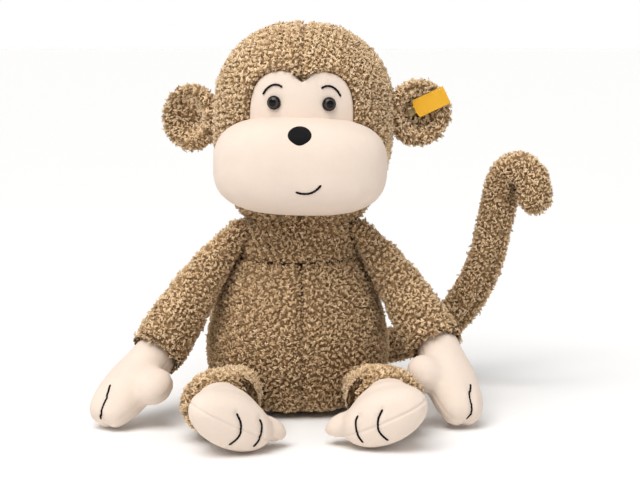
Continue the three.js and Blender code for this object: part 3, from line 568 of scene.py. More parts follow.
def cloth_mesh(name, surface, body, material, closed=False):
    """A mesh of a grid's cells, smooth, welded where points meet, that rides on a body."""
    mesh = bpy.data.meshes.new(name)
    rows, columns = surface.shape[:2]
    mesh.from_pydata(surface.reshape(-1, 3), [], grid_faces(rows, columns, closed))
    welded = bmesh.new()
    welded.from_mesh(mesh)
    bmesh.ops.remove_doubles(welded, verts=welded.verts, dist=0.01 * MM)
    welded.to_mesh(mesh)
    welded.free()
    mesh.shade_smooth()
    mesh.materials.append(material)
    piece = bpy.data.objects.new(name, mesh)
    bpy.context.scene.collection.objects.link(piece)
    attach(piece, body)
    return piece


x, height = np.meshgrid(np.linspace(-43, 43, 110) * MM, np.linspace(84, 154, 90) * MM)
grid = np.stack([x, -head_forward(x, height), height], axis=-1)
sink = face_sink + 4.5 * MM * np.clip((in_face(grid) - 0.98) / 0.08, 0, 1) ** 2
for sign in (-1, 1):
    from_eye = np.hypot(x - sign * eye_spacing / 2, height - eye_height)
    sink = sink + 0.9 * MM * np.exp(-((from_eye / (7.5 * MM)) ** 2))
grid = grid - outward(grid) * sink[..., None]
face = cloth_mesh("face_cloth", on_head(grid), "head", pale_plush)
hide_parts("face_panel", "eye_washer_right", "eye_washer_left")

# ---- Muzzle: a stuffed pale cushion --------------------------------------------------------------
# A wide rounded cushion of the same plush, sewn to the head all round. Two short darts at its lower corners
# give it its cheeks.
cloth_steps = 20  # of the blowing up
muzzle_squares = 3 * MM
muzzle_swell = 0.6 * MM


def closed_ball(count):
    """Unit directions on a grid that closes at both its poles, which lie at the left and the right."""
    up = np.linspace(-90, 90, count)[:, None]
    around = np.linspace(0, 360, 2 * count, endpoint=False)[None, :]
    up, around = np.radians(up), np.radians(around)
    level = np.cos(up)
    return np.stack([np.sin(up) + 0 * around, level * np.cos(around), level * np.sin(around)], axis=-1)


def cushion(half, squareness, centre, count):
    """A ball whose sides are squared off: each direction over the sum of its powers, times the half
    sizes."""
    direction = closed_ball(count)
    reach = (np.abs(direction) ** squareness).sum(-1, keepdims=True) ** (-1 / squareness)
    return direction * reach * half + centre


def applied(piece):
    """Puts a piece's modifiers into its mesh."""
    graph = bpy.context.evaluated_depsgraph_get()
    made = bpy.data.meshes.new_from_object(piece.evaluated_get(graph))
    piece.modifiers.clear()
    piece.data = made


def stuffed(name, body, grids, squares, swell):
    """A stuffed plush cover that rides on a body: closed grids made one skin of squares, blown up as cloth
    under pressure with no point moving further than swell, smoothed and made finer."""
    mesh = bpy.data.meshes.new(name)
    joined = bmesh.new()
    for grid in grids:
        part = bpy.data.meshes.new("part")
        part.from_pydata(grid.reshape(-1, 3), [], grid_faces(*grid.shape[:2], True))
        joined.from_mesh(part)
        bpy.data.meshes.remove(part)
    bmesh.ops.remove_doubles(joined, verts=joined.verts, dist=0.01 * MM)
    bmesh.ops.recalc_face_normals(joined, faces=joined.faces)
    joined.to_mesh(mesh)
    joined.free()
    piece = bpy.data.objects.new(name, mesh)
    bpy.context.scene.collection.objects.link(piece)
    remesh = piece.modifiers.new("squares", "REMESH")
    remesh.mode = "VOXEL"
    remesh.voxel_size = squares
    applied(piece)
    before = points_of(piece.data)
    cloth = piece.modifiers.new("cloth", "CLOTH")
    cloth.settings.use_pressure = True
    cloth.settings.uniform_pressure_force = 4
    cloth.settings.effector_weights.gravity = 0
    cloth.point_cache.frame_start = 1
    cloth.point_cache.frame_end = cloth_steps
    for step in range(1, cloth_steps + 1):
        bpy.context.scene.frame_set(step)
    applied(piece)
    bpy.context.scene.frame_set(1)
    move = points_of(piece.data) - before
    far = np.linalg.norm(move, axis=1, keepdims=True)
    after = before + move * np.minimum(1, swell / np.maximum(far, 1e-9))
    piece.data.vertices.foreach_set("co", after.ravel())
    piece.data.update()
    smooth = piece.modifiers.new("smooth", "SMOOTH")
    smooth.factor = 0.6
    smooth.iterations = 3
    finish = piece.modifiers.new("finer", "SUBSURF")
    finish.levels = finish.render_levels = 2
    applied(piece)
    piece.data.shade_smooth()
    piece.data.materials.append(pale_plush)
    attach(piece, body)
    return piece


def press(piece, depth):
    """Moves each point of a piece in along its normal by depth, an array with one value for each."""
    normal = np.empty(len(piece.data.vertices) * 3)
    piece.data.vertices.foreach_get("normal", normal)
    moved = points_of(piece.data) - normal.reshape(-1, 3) * depth[:, None]
    piece.data.vertices.foreach_set("co", moved.ravel())
    piece.data.update()


def from_line(points, start, end):
    """Each point's distance from a straight stretch between two points."""
    along = np.subtract(end, start)
    share = np.clip((points - start) @ along / (along @ along), 0, 1)
    return np.linalg.norm(points - start - share[:, None] * along, axis=1)


muzzle_cushion = cushion(muzzle_half, muzzle_squareness, muzzle_centre, 40)
muzzle = stuffed("muzzle_cloth", "head", [on_head(muzzle_cushion)], muzzle_squares, muzzle_swell)
local = off_head(points_of(muzzle.data))
darts = np.zeros(len(local))
for sign in (-1, 1):
    top = np.array([sign * 47, -74, muzzle_height / MM - 11]) * MM
    bottom = np.array([sign * 46, -66, muzzle_height / MM - 27]) * MM
    apart = from_line(local, top, bottom)
    darts += 0.8 * MM * np.exp(-((apart / (3.5 * MM)) ** 2))
    darts += 0.6 * MM * np.exp(-((apart / (1.1 * MM)) ** 2))
press(muzzle, darts)
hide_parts("muzzle_cover", "muzzle_stuffing")

# ---- Eyes: glossy domes on shanks ----------------------------------------------------------------
# Each eye is a moulded dome with a black pupil in a dark brown iris, under a clear gloss, set square to the
# face.
eye_dome = 4 * MM
eye_turn = 15


def round_piece(profile):
    """Rows of points turned about Z from [radius, height] pairs, which run from the middle outwards."""
    radius, height = np.array(profile)[::-1].T[:, :, None]
    turn = np.linspace(0, 2 * np.pi, 48, endpoint=False)
    return np.stack([radius * np.cos(turn), radius * np.sin(turn), height + 0 * turn], axis=-1)


def facing(points, forward, up, place):
    """Turns points so that their Z looks forward and their Y is near up, and moves them to a place."""
    forward = unit(np.asarray(forward, float))
    across = unit(np.cross(up, forward))
    return points @ np.array([across, np.cross(forward, across), forward]) + place


def facing_back(points, forward, up, place):
    """The opposite of facing: from the toy's frame back to the turned one."""
    return (points - place) @ facing(np.eye(3), forward, up, 0).T


def eye_paint():
    """The pupil's black, the iris's brown with a finely uneven edge and a dark rim, by distance from the
    middle in the across attribute, with a smooth gloss."""
    material, tree, shader = new_material("eye", 0.08, 0, (1, 1, 1))
    shader.inputs["IOR"].default_value = 1.33
    place = add_node(tree, "ShaderNodeTexCoord", {}).outputs["Object"]
    uneven = add_node(tree, "ShaderNodeTexNoise", {"Vector": place, "Scale": 2500}).outputs["Fac"]
    across = add_node(tree, "ShaderNodeAttribute", {}, attribute_name="across").outputs["Fac"]
    factor = add_node(tree, "ShaderNodeMath", {0: uneven, 1: 0.05, 2: across}, operation="MULTIPLY_ADD")
    greys = [(0.0, 0.001), (0.52, 0.001), (0.58, 0.055), (0.78, 0.04), (0.85, 0.002)]
    stops = [(share, grey, grey * 0.8, grey * 0.68) for share, grey in greys]
    tree.links.new(add_ramp(tree, factor.outputs[0], stops), shader.inputs["Base Color"])
    return material


eye_gloss = eye_paint()
tilt = np.radians(np.linspace(0, 90, 14))
eye_profile = [(eye_radius * math.sin(a), eye_dome * math.cos(a)) for a in tilt]
eye_profile += [(eye_radius * 0.94, -0.5 * MM), (eye_radius * 0.5, -1 * MM), (0, -1 * MM)]
for side, sign in (("left", 1), ("right", -1)):
    x = sign * eye_spacing / 2
    forward = [sign * math.sin(math.radians(eye_turn)), -math.cos(math.radians(eye_turn)), 0]
    place = np.array([x, -head_forward(x, eye_height) + face_sink - 0.4 * MM, eye_height])
    dome = on_head(facing(round_piece(eye_profile), forward, [0, 0, 1], place))
    eye = cloth_mesh(f"eye_dome_{side}", dome, "head", eye_gloss, closed=True)
    middle = on_head(place[None])[0]
    axis = on_head((place + forward)[None])[0] - middle
    from_middle = points_of(eye.data) - middle
    from_middle = from_middle - (from_middle @ axis)[:, None] * axis
    share = (np.linalg.norm(from_middle, axis=1) / eye_radius).astype(np.float32)
    eye.data.attributes.new("across", "FLOAT", "POINT").data.foreach_set("value", share)
    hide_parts(f"eye_{side}")

# ---- Nose, brows and mouth: black embroidery -----------------------------------------------------
# The nose is a pad of upright satin stitches, rounded above and a little pointed below. The brows and the
# crooked smile are single stitched lines.
nose_half = np.array([8.8, 3, 6.6]) * MM
nose_height = 105 * MM


def black_thread(name, run):
    """Glossy black thread, with fine ridges along it: a wave texture, its bands crossing the run axis."""
    material, tree, shader = new_material(name, 0.6, 0, (1, 1, 1))
    shader.inputs["IOR"].default_value = 1.25
    shader.inputs["Base Color"].default_value = (0.004, 0.004, 0.005, 1)
    place = add_node(tree, "ShaderNodeTexCoord", {}).outputs["Object"]
    wave = {"Vector": place, "Scale": 350, "Distortion": 2}
    ridges = add_node(tree, "ShaderNodeTexWave", wave, bands_direction=run).outputs["Fac"]
    bump = add_node(tree, "ShaderNodeBump", {"Distance": 0.2 * MM, "Height": ridges})
    tree.links.new(bump.outputs["Normal"], shader.inputs["Normal"])
    return material


def on_muzzle(x, height, proud):
    """Points on the muzzle's skin, in the toy's frame, at distances sideways and heights in the head's own:
    where a line from the front first meets it, moved forward by proud."""
    start = on_head(np.stack([x, 0 * x - 2 * head_radius, height], axis=-1).reshape(-1, 3))
    back = on_head(np.array([[0, 1.0, 0]]))[0] - on_head(np.zeros((1, 3)))[0]
    met = np.array([muzzle.ray_cast(Vector(point), Vector(back))[1] for point in start])
    return met.reshape(*x.shape, 3) - back * np.asarray(proud)[..., None]


satin = black_thread("satin_stitch", "X")
turn = np.linspace(0, 2 * np.pi, 64, endpoint=False)
ring, turn = np.meshgrid(np.linspace(1, 0, 14), turn, indexing="ij")
below = np.maximum(-np.sin(turn), 0)
x = ring * nose_half[0] * np.cos(turn) * (1 - 0.16 * below**2)
height = nose_height + ring * nose_half[2] * np.sin(turn) * (1 + 0.08 * below**6)
proud = 2.3 * MM * (1 - ring**2.6) ** 0.5 - 0.9 * MM
nose = cloth_mesh("nose_stitch", on_muzzle(x, height, proud), "head", satin, closed=True)
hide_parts("nose")

stitch_thread = black_thread("stitch_thread", "DIAGONAL")


def stitched_line(name, line, radius, body):
    """A row of stitches along a line: a round thread, pinched every 2.4 mm where it goes through the cloth
    and rounded off at its two ends."""
    steps = max(12, int(np.linalg.norm(np.diff(line, axis=0), axis=1).sum() / (0.4 * MM)))
    line = through(line, steps)
    run = np.linspace(0, (steps - 1) * 0.4 * MM, steps)
    ends = np.sqrt(np.clip(np.minimum(run, run[-1] - run) / (1.2 * radius), 0.02, 1))
    width = radius * ends * (0.86 + 0.14 * np.abs(np.sin(np.pi * run / (2.4 * MM))))
    along = unit(np.gradient(line, axis=0))
    side = unit(np.cross(along, [0.31, 0.2, 0.93]))
    over = np.cross(along, side)
    turn = np.linspace(0, 2 * np.pi, 8, endpoint=False)[None, :, None]
    ring = np.cos(turn) * side[:, None] + np.sin(turn) * over[:, None]
    tube = line[:, None] + width[:, None, None] * ring
    return cloth_mesh(name, tube, body, stitch_thread, closed=True)


brow_line = [(13.5, 10.7), (16.5, 12.3), (20.5, 12.2), (24.5, 9.6), (27.5, 5.2)]
for side, sign in (("left", 1), ("right", -1)):
    x, rise = np.array(brow_line).T * MM
    height = eye_height + rise
    line = np.stack([sign * x, -head_forward(x, height) + face_sink - 0.3 * MM, height], axis=-1)
    brow = stitched_line(f"brow_stitch_{side}", on_head(line), 0.8 * MM, "head")
    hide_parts(f"brow_{side}")

mouth_line = [(-1.8, -15.4), (2.5, -16.4), (7.5, -16.2), (12, -14), (15.8, -10)]
x, rise = np.array(mouth_line).T * MM
line = on_muzzle(x, muzzle_height + rise, 0.1 * MM)
mouth = stitched_line("mouth_stitch", line, 0.85 * MM, "head")
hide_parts("mouth_thread")

# ---- Ears: two hollow round pads -----------------------------------------------------------------
# An ear is a pile front, sunk into a cup, and a pile back, sewn round their edge and lightly filled. It is
# sewn to the head along its inner edge, and folded back from it.
ear_radius = 26 * MM
ear_thickness = 13 * MM
ear_out = 16 * MM
ear_seam_out = head_radius + 1.5 * MM
ear_height = {"right": 111 * MM, "left": 119 * MM}
ear_fold = {"right": 30, "left": 13}


def on_ear(points, side):
    """From an ear's own frame, with its sewn edge along Z and its front towards -Y, to the toy's."""
    sign = 1 if side == "left" else -1
    seam_place = [sign * ear_seam_out, 0, ear_height[side]]
    return on_head(points @ turned_by("Z", sign * ear_fold[side]).T + seam_place)


def ear_pad(name, outline_points, side, seed, node):
    """A ring of pile cloth: an outline of share of the radius and depth, turned about the pad's own middle
    line. The pad narrows a little towards the head, where its edge is gathered."""
    sign = 1 if side == "left" else -1
    outline = through(outline_points, 22)
    turn = np.linspace(0, 2 * np.pi, 72, endpoint=False)[None, :]
    share, depth = outline[:, :1], outline[:, 1:] * ear_thickness / 2
    gather = 1 - 0.12 * np.clip(-np.cos(turn), 0, 1) ** 2
    x = sign * (ear_out + ear_radius * share * np.cos(turn))
    z = ear_radius * share * gather * np.sin(turn)
    grid = np.stack([x, depth + 0 * turn, z], axis=-1)
    if sign > 0:
        grid = grid[:, ::-1]
    steps = np.diff(outline, axis=0) * [ear_radius, ear_thickness / 2]
    run = np.concatenate([[0], np.cumsum(np.hypot(*steps.T))])
    from_edge = run[-1] - run if node.startswith("ear_front") else run
    seam = from_edge[:, None] + 0 * turn + 1 * MM
    # The ears' pile is painted lighter: painted light.
    pad = pile_panel(name, f"ear_{side}", on_ear(grid, side), seam, seed, 1.1, closed=True, length=4.2 * MM)
    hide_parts(node)


cup_outline = [(0.02, 0.4), (0.25, 0.3), (0.46, -0.4), (0.68, -1.25), (0.88, -1.05), (1.0, 0)]
back_outline = [(1.0, 0), (0.86, 1.0), (0.55, 1.25), (0.02, 1.3)]
for side, seed in (("left", 91), ("right", 101)):
    ear_pad(f"ear_cup_{side}", cup_outline, side, seed, f"ear_front_{side}")
    ear_pad(f"ear_back_cloth_{side}", back_outline, side, seed + 5, f"ear_back_{side}")

# ---- Button and flag in the left ear -------------------------------------------------------------
# A plain brass button, riveted through the ear's cup, holds one end of a folded woven flag. Both are blank.
button_radius = 3.7 * MM
flag_length = 24 * MM
flag_width = 13.5 * MM
flag_slope = 27
flag_lift = 15


def on_button(points):
    """From the button's own frame, with its face towards -Y and the flag along X, to the toy's."""
    turn = turned_by("Z", -flag_lift) @ turned_by("Y", -flag_slope)
    return on_ear(points @ turn.T + [ear_out - 6 * MM, -2.1 * MM, 1 * MM], "left")


def brass():
    """Worn brass, clouded by noise, a little rougher where it is dull."""
    material, tree, shader = new_material("brass", 0.3, 0, (1, 1, 1))
    shader.inputs["Metallic"].default_value = 1
    place = add_node(tree, "ShaderNodeTexCoord", {}).outputs["Object"]
    cloud = add_node(tree, "ShaderNodeTexNoise", {"Vector": place, "Scale": 400, "Detail": 5}).outputs["Fac"]
    colour = add_ramp(tree, cloud, [(0, 0.1, 0.07, 0.035), (1, 0.42, 0.31, 0.16)])
    rough = add_node(tree, "ShaderNodeMapRange", {"Value": cloud, "To Min": 0.45, "To Max": 0.2})
    tree.links.new(colour, shader.inputs["Base Color"])
    tree.links.new(rough.outputs["Result"], shader.inputs["Roughness"])
    return material


button_outline = [  # radius and height, in millimetres
    (0, 3.9), (1.6, 3.85), (2.5, 3.6), (2.8, 3.3), (3.1, 3.4), (3.5, 3.3),
    (3.7, 2.8), (3.5, 2.4), (1.2, 2.2), (1.2, -1), (0, -1),
]
button_rows = round_piece(np.array(button_outline) * MM)
button_rows = facing(button_rows, [0, -1, 0], [0, 0, 1], np.zeros(3))
button = cloth_mesh("button_cap", on_button(button_rows), "ear_left", brass(), closed=True)
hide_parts("ear_button")


def woven(name, colour):
    """Fine plain weave: two crossed waves on the piece's own UV map make its threads, with painted shade
    between them, where its colour is darker."""
    material, tree, shader = new_material(name, 0.6, 0.05, (1, 0.8, 0.4))
    place = add_node(tree, "ShaderNodeUVMap", {}).outputs["UV"]
    threads = [
        add_node(tree, "ShaderNodeTexWave", {"Vector": place, "Scale": 700}, bands_direction=run).outputs[1]
        for run in "XY"
    ]
    weave = add_node(tree, "ShaderNodeMath", dict(enumerate(threads)), operation="MAXIMUM").outputs[0]
    shaded = add_ramp(tree, weave, [(0, *(0.55 * part for part in colour)), (0.7, *colour)])
    bump = add_node(tree, "ShaderNodeBump", {"Distance": 0.1 * MM, "Height": weave})
    tree.links.new(shaded, shader.inputs["Base Color"])
    tree.links.new(bump.outputs["Normal"], shader.inputs["Normal"])
    return material


def flag_strip():
    """The flag's fold: a flat loop carried along its width. Round it runs front, fold and back, 1 mm apart,
    with a slow bow along it; under the button it narrows to a tongue."""
    loop = np.linspace(0, 1, 130)[:, None]
    across = np.linspace(-1, 1, 28)[None, :]
    share = np.clip(loop * 2.08, 0, 1) - np.clip((loop - 0.52) * 2.08, 0, 1)
    x = (button_radius + 4 * MM + flag_length) * share - 2.5 * MM
    soft = np.clip((x - button_radius) / (0.8 * MM), 0, 1)
    width = 2.7 * MM + (flag_width / 2 - 2.7 * MM) * soft**2 * (3 - 2 * soft)
    turn = np.pi * np.clip((loop - 0.48) / 0.04, 0, 1)
    gap = 0.5 * MM * np.sqrt(np.clip(1 - share**12, 0, 1) + 0.04)
    y = -1.4 * MM - gap * np.cos(turn) - 0.9 * MM * np.sin(np.pi * share) * (1 - 0.4 * across)
    return np.stack([x + 0 * across, y + 0 * across, across * width], axis=-1)


strip = flag_strip()
flag_cloth = woven("flag_weave", (0.92, 0.47, 0.012))
flag = cloth_mesh("flag_cloth", on_button(strip), "ear_left", flag_cloth)
flat = flag.data.uv_layers.new(name="weave")
corner = np.empty(len(flag.data.loops), np.int32)
flag.data.loops.foreach_get("vertex_index", corner)
flat.data.foreach_set("uv", strip.reshape(-1, 3)[:, [0, 2]][corner].astype(np.float32).ravel())
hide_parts("ear_flag")

# ---- Arms: pile sleeves --------------------------------------------------------------------------
# Each sleeve is one panel of pile, sewn into a tube with its seam underneath, lightly filled, and closed
# over the shoulder by a round end that is sewn into the body. Its cuff is turned in round the wrist.
shoulder_radius = 15 * MM
sleeve_cuff = 15.5 * MM  # where it is turned in
wrist_radius = 16 * MM
sleeve_short = 4 * MM
wrist_at = {side: joint_at[f"wrist_{side}_flex"] for side in ("right", "left")}
shoulder_at = {side: joint_at[f"shoulder_{side}_swing"] for side in ("right", "left")}
hand_aim = {"right": np.array([-38, -38, -40.0]), "left": np.array([14, -46, -45.0])}


def limb_cloth(name, body, path, radii, cuff, creases, seed, nodes, flatness=1.0, around=60):
    """A pile tube that rides on a body. Its path's first point is the middle of its round root, and its
    radii are [share of the length, radius] pairs. The cuff rolls in to the given radius and runs 6 mm back
    inside. creases are [share, depth, turn] triples of soft folds across it, deepest where turn degrees
    round."""
    rows = len(path)
    run = np.concatenate([[0], np.cumsum(np.linalg.norm(np.diff(path, axis=0), axis=1))])
    share = run / run[-1]
    stops, widths = np.array(radii).T
    fine = through(np.stack([stops, widths], axis=-1), 200)
    radius = np.interp(share, fine[:, 0], fine[:, 1])
    root = widths[0]
    back = np.radians(np.linspace(-88, -12, 9))
    start = path[0] + np.sin(back)[:, None] * root * unit(path[1] - path[0])
    path = np.vstack([start, path])
    radius = np.concatenate([np.cos(back) * root, radius])
    curl = np.radians(np.linspace(20, 170, 8))
    lip = (radius[-1] - cuff) / 2
    middle = radius[-1] - lip
    forward = unit(path[-1] - path[-2])
    path = np.vstack([path, path[-1] + np.sin(curl)[:, None] * lip * forward])
    radius = np.concatenate([radius, middle + lip * np.cos(curl)])
    path = np.vstack([path, path[-1] - 6 * MM * forward])
    radius = np.concatenate([radius, [cuff]])
    along = unit(np.gradient(path, axis=0))
    along[-10:] = forward
    side = unit(np.cross([0, 0, 1], along))
    top = np.cross(along, side)
    turn = np.linspace(0, 2 * np.pi, around, endpoint=False)
    ring = np.cos(turn)[:, None] * side[:, None] + np.sin(turn)[:, None] * top[:, None] * flatness
    radius = np.repeat(radius[:, None], around, axis=1)
    place = np.arange(len(path))[:, None] / rows
    for at, depth, towards in creases:
        bend = np.exp(-(((place - at) / 0.035) ** 2)) * (0.55 + 0.45 * np.cos(turn - math.radians(towards)))
        radius = radius - depth * bend
    grid = path[:, None] + radius[:, :, None] * ring
    off = np.abs((turn + np.pi / 2 + np.pi) % (2 * np.pi) - np.pi)
    # The sleeves' and legs' pile is painted a little darker than the head's: painted shade.
    piece = pile_panel(name, body, grid, off * radius, seed, shade=0.98, closed=True)
    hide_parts(*nodes)


for side, seed in (("left", 111), ("right", 121)):
    shoulder, wrist = shoulder_at[side], wrist_at[side]
    along = unit(wrist - shoulder)
    end = wrist - along * sleeve_short
    turned = unit(along + unit(hand_aim[side]))
    sign = 1 if side == "left" else -1
    top = shoulder + np.array([-sign * 13, 2, 14]) * MM
    quarter, low = shoulder * 0.75 + end * 0.25, shoulder * 0.35 + end * 0.65
    path = through([top, quarter, low, end - turned * 4 * MM, end], 46)
    upper = shoulder_radius - 1 * MM
    radii = [(0, 9 * MM), (0.25, upper), (0.55, 18 * MM), (0.85, 20.5 * MM), (1, 19.5 * MM)]
    folds = [(0.35, 1.6 * MM, 200), (0.55, 1.3 * MM, 20), (0.75, 1.5 * MM, 180)]
    nodes = [f"sleeve_{side}", f"arm_stuffing_{side}", f"shoulder_stuffing_{side}"]
    limb_cloth(f"sleeve_cloth_{side}", f"arm_{side}", path, radii, sleeve_cuff, folds, seed, nodes)

# ---- Hands: stuffed plush mittens ----------------------------------------------------------------
# A hand is a back and a palm of pale plush, sewn round their edge and filled. A thumb bulges from its inner
# side, and one line of black thread parts its two fingers.
hand_length = 63 * MM
hand_half_width = 20.5 * MM
hand_half_thickness = 15.5 * MM
thumb_radius = 12 * MM
line_out = {"right": 0, "left": 4 * MM}  # the line's place across the fingers
pad_squares = 2.6 * MM
pad_swell = 0.8 * MM


def round_root(radius):
    """The profile of a round root below Z = 0: its pole, and three points of a circle."""
    turns = [math.radians(turn) for turn in (-65, -40, -15)]
    return [(0.3 * MM, -radius)] + [(radius * math.cos(turn), radius * math.sin(turn)) for turn in turns]


def mitten(profile, flatness):
    """A closed pad along Z: a smooth outline of [radius, height] pairs turned about Z and squeezed along Y,
    more and more over the first 20 mm."""
    outline = through(profile, 40)
    turn = np.linspace(0, 2 * np.pi, 48, endpoint=False)
    radius, height = outline[:, :1], outline[:, 1:]
    soft = np.clip((height - 2 * MM) / (18 * MM), 0, 1)
    squeeze = 1 + (flatness - 1) * soft**2 * (3 - 2 * soft)
    return np.stack([radius * np.cos(turn), radius * np.sin(turn) * squeeze, height + 0 * turn], axis=-1)


def on_skin(piece, guide):
    """A line on a piece's skin: the nearest point of its mesh to each point of a smooth guide line."""
    return np.array([piece.closest_point_on_mesh(point)[1] for point in through(guide, 40)])


for side, sign in (("left", 1), ("right", -1)):
    profile = round_root(wrist_radius) + [
        (wrist_radius, 5 * MM),
        (hand_half_width - 1 * MM, 17 * MM),
        (hand_half_width, 28 * MM),
        (hand_half_width - 2 * MM, hand_length - 16 * MM),
        (hand_half_width * 0.6, hand_length - 3 * MM),
        (0.3 * MM, hand_length),
    ]
    thumb_half = np.array([1.15, 0.95, 1.25]) * thumb_radius
    thumb_place = np.array([-sign * (hand_half_width + 1 * MM), 1 * MM, 24 * MM])
    thumb = cushion(thumb_half, 2, thumb_place, 20)
    # A hand's own frame has its fingers along Z and its back towards Y.
    hand_frame = (unit(hand_aim[side]), np.array([sign * 0.5, -0.6, 1]), wrist_at[side])
    pad = mitten(profile, hand_half_thickness / hand_half_width)
    grids = [facing(pad, *hand_frame), facing(thumb, *hand_frame)]
    hand = stuffed(f"hand_cloth_{side}", f"hand_{side}", grids, pad_squares, pad_swell)
    local = facing_back(points_of(hand.data), *hand_frame)
    edge = np.exp(-((local[:, 1] / (1.1 * MM)) ** 2)) * 0.3 * MM
    from_split = local[:, 0] - line_out[side] + sign * 3 * MM
    split = np.exp(-((from_split / (3 * MM)) ** 2)) * np.clip((local[:, 2] - 36 * MM) / (14 * MM), 0, 1)
    press(hand, edge + 1.6 * MM * split)
    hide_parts(f"hand_back_{side}", f"hand_palm_{side}", f"hand_stuffing_{side}")
    guide = np.array([(1, 20, 41), (3, 16, 48), (3, 9, 60), (3, 2, 66)]) * MM * [-sign, 1, 1]
    guide[:, 0] += line_out[side]
    line = on_skin(hand, facing(guide, *hand_frame))
    stitched_line(f"finger_stitch_{side}", line, 0.8 * MM, f"hand_{side}")

# ---- Legs: pile tubes ----------------------------------------------------------------------------
# A leg is short and thick, a tube of pile like a sleeve. It is sewn to the front of the body by its round
# end.
hip_radius = 17 * MM
leg_half_width = 26.5 * MM
leg_half_height = 23 * MM
leg_short = 6 * MM
leg_cuff = 13 * MM  # where it is turned in
foot_turn_in = {"right": 15, "left": 13}
foot_droop = 6
foot_roll = {"right": 28, "left": 26}
hip_at = {side: joint_at[f"hip_{side}_lift"] for side in ("right", "left")}
ankle_at = {side: joint_at[f"ankle_{side}_flex"] for side in ("right", "left")}


def foot_forward(side, sign):
    """The way a foot points: turned in from straight ahead, and a little down."""
    turn_in, droop = math.radians(foot_turn_in[side]), math.radians(foot_droop)
    return unit(np.array([-sign * math.sin(turn_in), -math.cos(turn_in), -math.tan(droop)]))


for side, sign, seed in (("left", 1, 131), ("right", -1, 141)):
    hip, ankle = hip_at[side], ankle_at[side]
    along = unit(ankle - hip)
    end = ankle - along * leg_short
    turned = unit(along + foot_forward(side, sign))
    path = through([hip, hip * 0.5 + end * 0.5, end - turned * 5 * MM, end], 34)
    radii = [(0, hip_radius), (0.27, hip_radius + 3 * MM), (0.7, 25.5 * MM), (1, 25 * MM)]
    flatness = leg_half_height / leg_half_width
    folds = [(0.45, 1.5 * MM, 90)]
    nodes = [f"leg_cover_{side}", f"leg_stuffing_{side}", f"hip_stuffing_{side}"]
    limb_cloth(f"leg_cloth_{side}", f"leg_{side}", path, radii, leg_cuff, folds, seed, nodes, flatness, 72)

# ---- Feet: stuffed plush pads --------------------------------------------------------------------
# A foot is a top and a sole of pale plush with its seam round the toes, rolled outwards as it lies. The big
# toe bulges from its inner side, and two lines of black thread part the other toes.
foot_length = 39 * MM
foot_half_width = 30.5 * MM
foot_half_height = 18.3 * MM
foot_shift = {"right": np.array([3.5, -8, 0]) * MM, "left": np.array([-1.5, -6, 0]) * MM}
toe_radius = 10 * MM
toe_lines = [  # across the toes towards the big toe, and up, seen from the front
    [(-4, 8.5), (1.5, 3.5), (4.5, -4), (2.5, -13)],
    [(13.3, 10.5), (16.6, 7), (19, -0.8), (18.6, -8)],
]

for side, sign in (("left", 1), ("right", -1)):
    heel = leg_half_height - 4.3 * MM
    profile = round_root(heel) + [
        (heel + 0.3 * MM, 5 * MM),
        (foot_half_width - 3 * MM, 14 * MM),
        (foot_half_width, 25 * MM),
        (foot_half_width * 0.72, foot_length - 4 * MM),
        (0.3 * MM, foot_length),
    ]
    toe_place = np.array([-sign * (foot_half_width - 1 * MM), 4 * MM, 15 * MM])
    toe = cushion(np.array([1.45, 0.8, 1]) * toe_radius, 2, toe_place, 20)
    # A foot's own frame has its toes along Z and its top towards Y.
    forward = foot_forward(side, sign)
    roll = math.radians(foot_roll[side])
    up = np.array([-sign * math.sin(roll), 0, math.cos(roll)])
    foot_frame = (forward, up, ankle_at[side] + foot_shift[side])
    pad = mitten(profile, foot_half_height / foot_half_width)
    grids = [facing(pad, *foot_frame), facing(toe, *foot_frame)]
    foot = stuffed(f"foot_cloth_{side}", f"foot_{side}", grids, pad_squares, pad_swell)
    local = facing_back(points_of(foot.data), *foot_frame)
    edge = np.exp(-((local[:, 1] / (0.9 * MM)) ** 2)) * 0.7 * MM
    front = np.clip((local[:, 2] - 16 * MM) / (12 * MM), 0, 1)
    for line in toe_lines:
        x, y = through(np.array(line) * MM * [-sign, 1], 60).T
        apart = np.hypot(local[:, :1] - x, local[:, 1:2] - y).min(axis=1)
        edge = edge + 1.2 * MM * np.exp(-((apart / (2.2 * MM)) ** 2)) * front
    press(foot, edge)
    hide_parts(f"foot_top_{side}", f"foot_sole_{side}", f"foot_stuffing_{side}")
    for number, line in enumerate(toe_lines):
        x, y = through(np.array(line) * MM * [-sign, 1], 40).T
        starts = facing(np.stack([x, y, 0 * x + 0.1], axis=-1), *foot_frame)
        skin = np.array([foot.ray_cast(start, -forward)[1] for start in starts])
        stitched_line(f"toe_stitch_{side}_{number + 1}", skin, 0.8 * MM, f"foot_{side}")

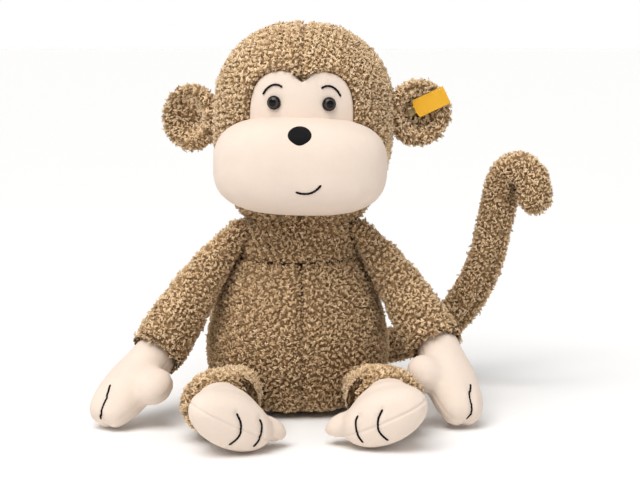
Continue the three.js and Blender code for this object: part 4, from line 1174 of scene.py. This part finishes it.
# ---- Tail: a long pile tube ----------------------------------------------------------------------
# The tail is sewn from two strips of pile, with a seam along each side, and filled firmly. It is sewn to
# the low back, lies on the floor round the toy's left side, then stands up and hooks over at its end.
tail_radius = 14.2 * MM
tail_tip_radius = 14.5 * MM
tail_root = joint_at["tail_swing"]
tail_route = [  # from its root, in millimetres
    (0, 0, 0), (5, 17, -1), (25, 28, -5), (55, 24, -8), (84, 14, -5), (110, 4, 6), (128, -4, 23),
    (141, -9, 44), (150, -12, 67), (155, -13, 91), (159, -14, 110), (161, -16, 122), (165, -21, 133),
    (173, -28, 137), (180, -34, 130), (182, -37, 118), (181, -38, 106),
]
tail_curl_spacing = 1.62 * MM


def carried_rings(path, radius, around):
    """Rings square to a path. The first ring's side is turned with the path, never about it, from point to
    point, so that the rings don't twist."""
    along = unit(np.gradient(path, axis=0))
    side = [unit(np.cross([0, 0, 1], along[0]))]
    for direction in along[1:]:
        side.append(unit(side[-1] - (side[-1] @ direction) * direction))
    side = np.array(side)
    top = np.cross(along, side)
    turn = np.linspace(0, 2 * np.pi, around, endpoint=False)[None, :, None]
    ring = np.cos(turn) * side[:, None] + np.sin(turn) * top[:, None]
    return path[:, None] + radius[:, None, None] * ring


path = through(np.array(tail_route) * MM + tail_root, 160)[:-5]
radius = np.linspace(tail_radius, tail_tip_radius, len(path))
cap = np.radians(np.linspace(14, 88, 9))[:, None]
first, last = unit(path[0] - path[1]), unit(path[-1] - path[-2])
root_cap = path[0] + np.sin(cap[::-1]) * tail_radius * first
tip_cap = path[-1] + np.sin(cap) * tail_tip_radius * last
path = np.vstack([root_cap, path, tip_cap])
radius = np.concatenate([tail_radius * np.cos(cap[::-1, 0]), radius, tail_tip_radius * np.cos(cap[:, 0])])
tail_around = 44
grid = carried_rings(path, radius, tail_around)
turn = np.linspace(0, 2 * np.pi, tail_around, endpoint=False)
standing = grid[110] - path[110]
front_seam = turn[np.argmax(standing @ [0.5, -1, 0])]
seams = [np.abs((turn - at + np.pi) % (2 * np.pi) - np.pi) for at in (front_seam, front_seam + np.pi)]
seam = np.minimum(*seams)[None] * radius[:, None]
# The tail's pile is painted a little lighter: painted light.
tail = pile_panel("tail_cloth", "tail", grid, seam, 151, 1.05, closed=True, spacing=tail_curl_spacing)
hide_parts("tail_cover", "tail_stuffing", "tail_root_stuffing")
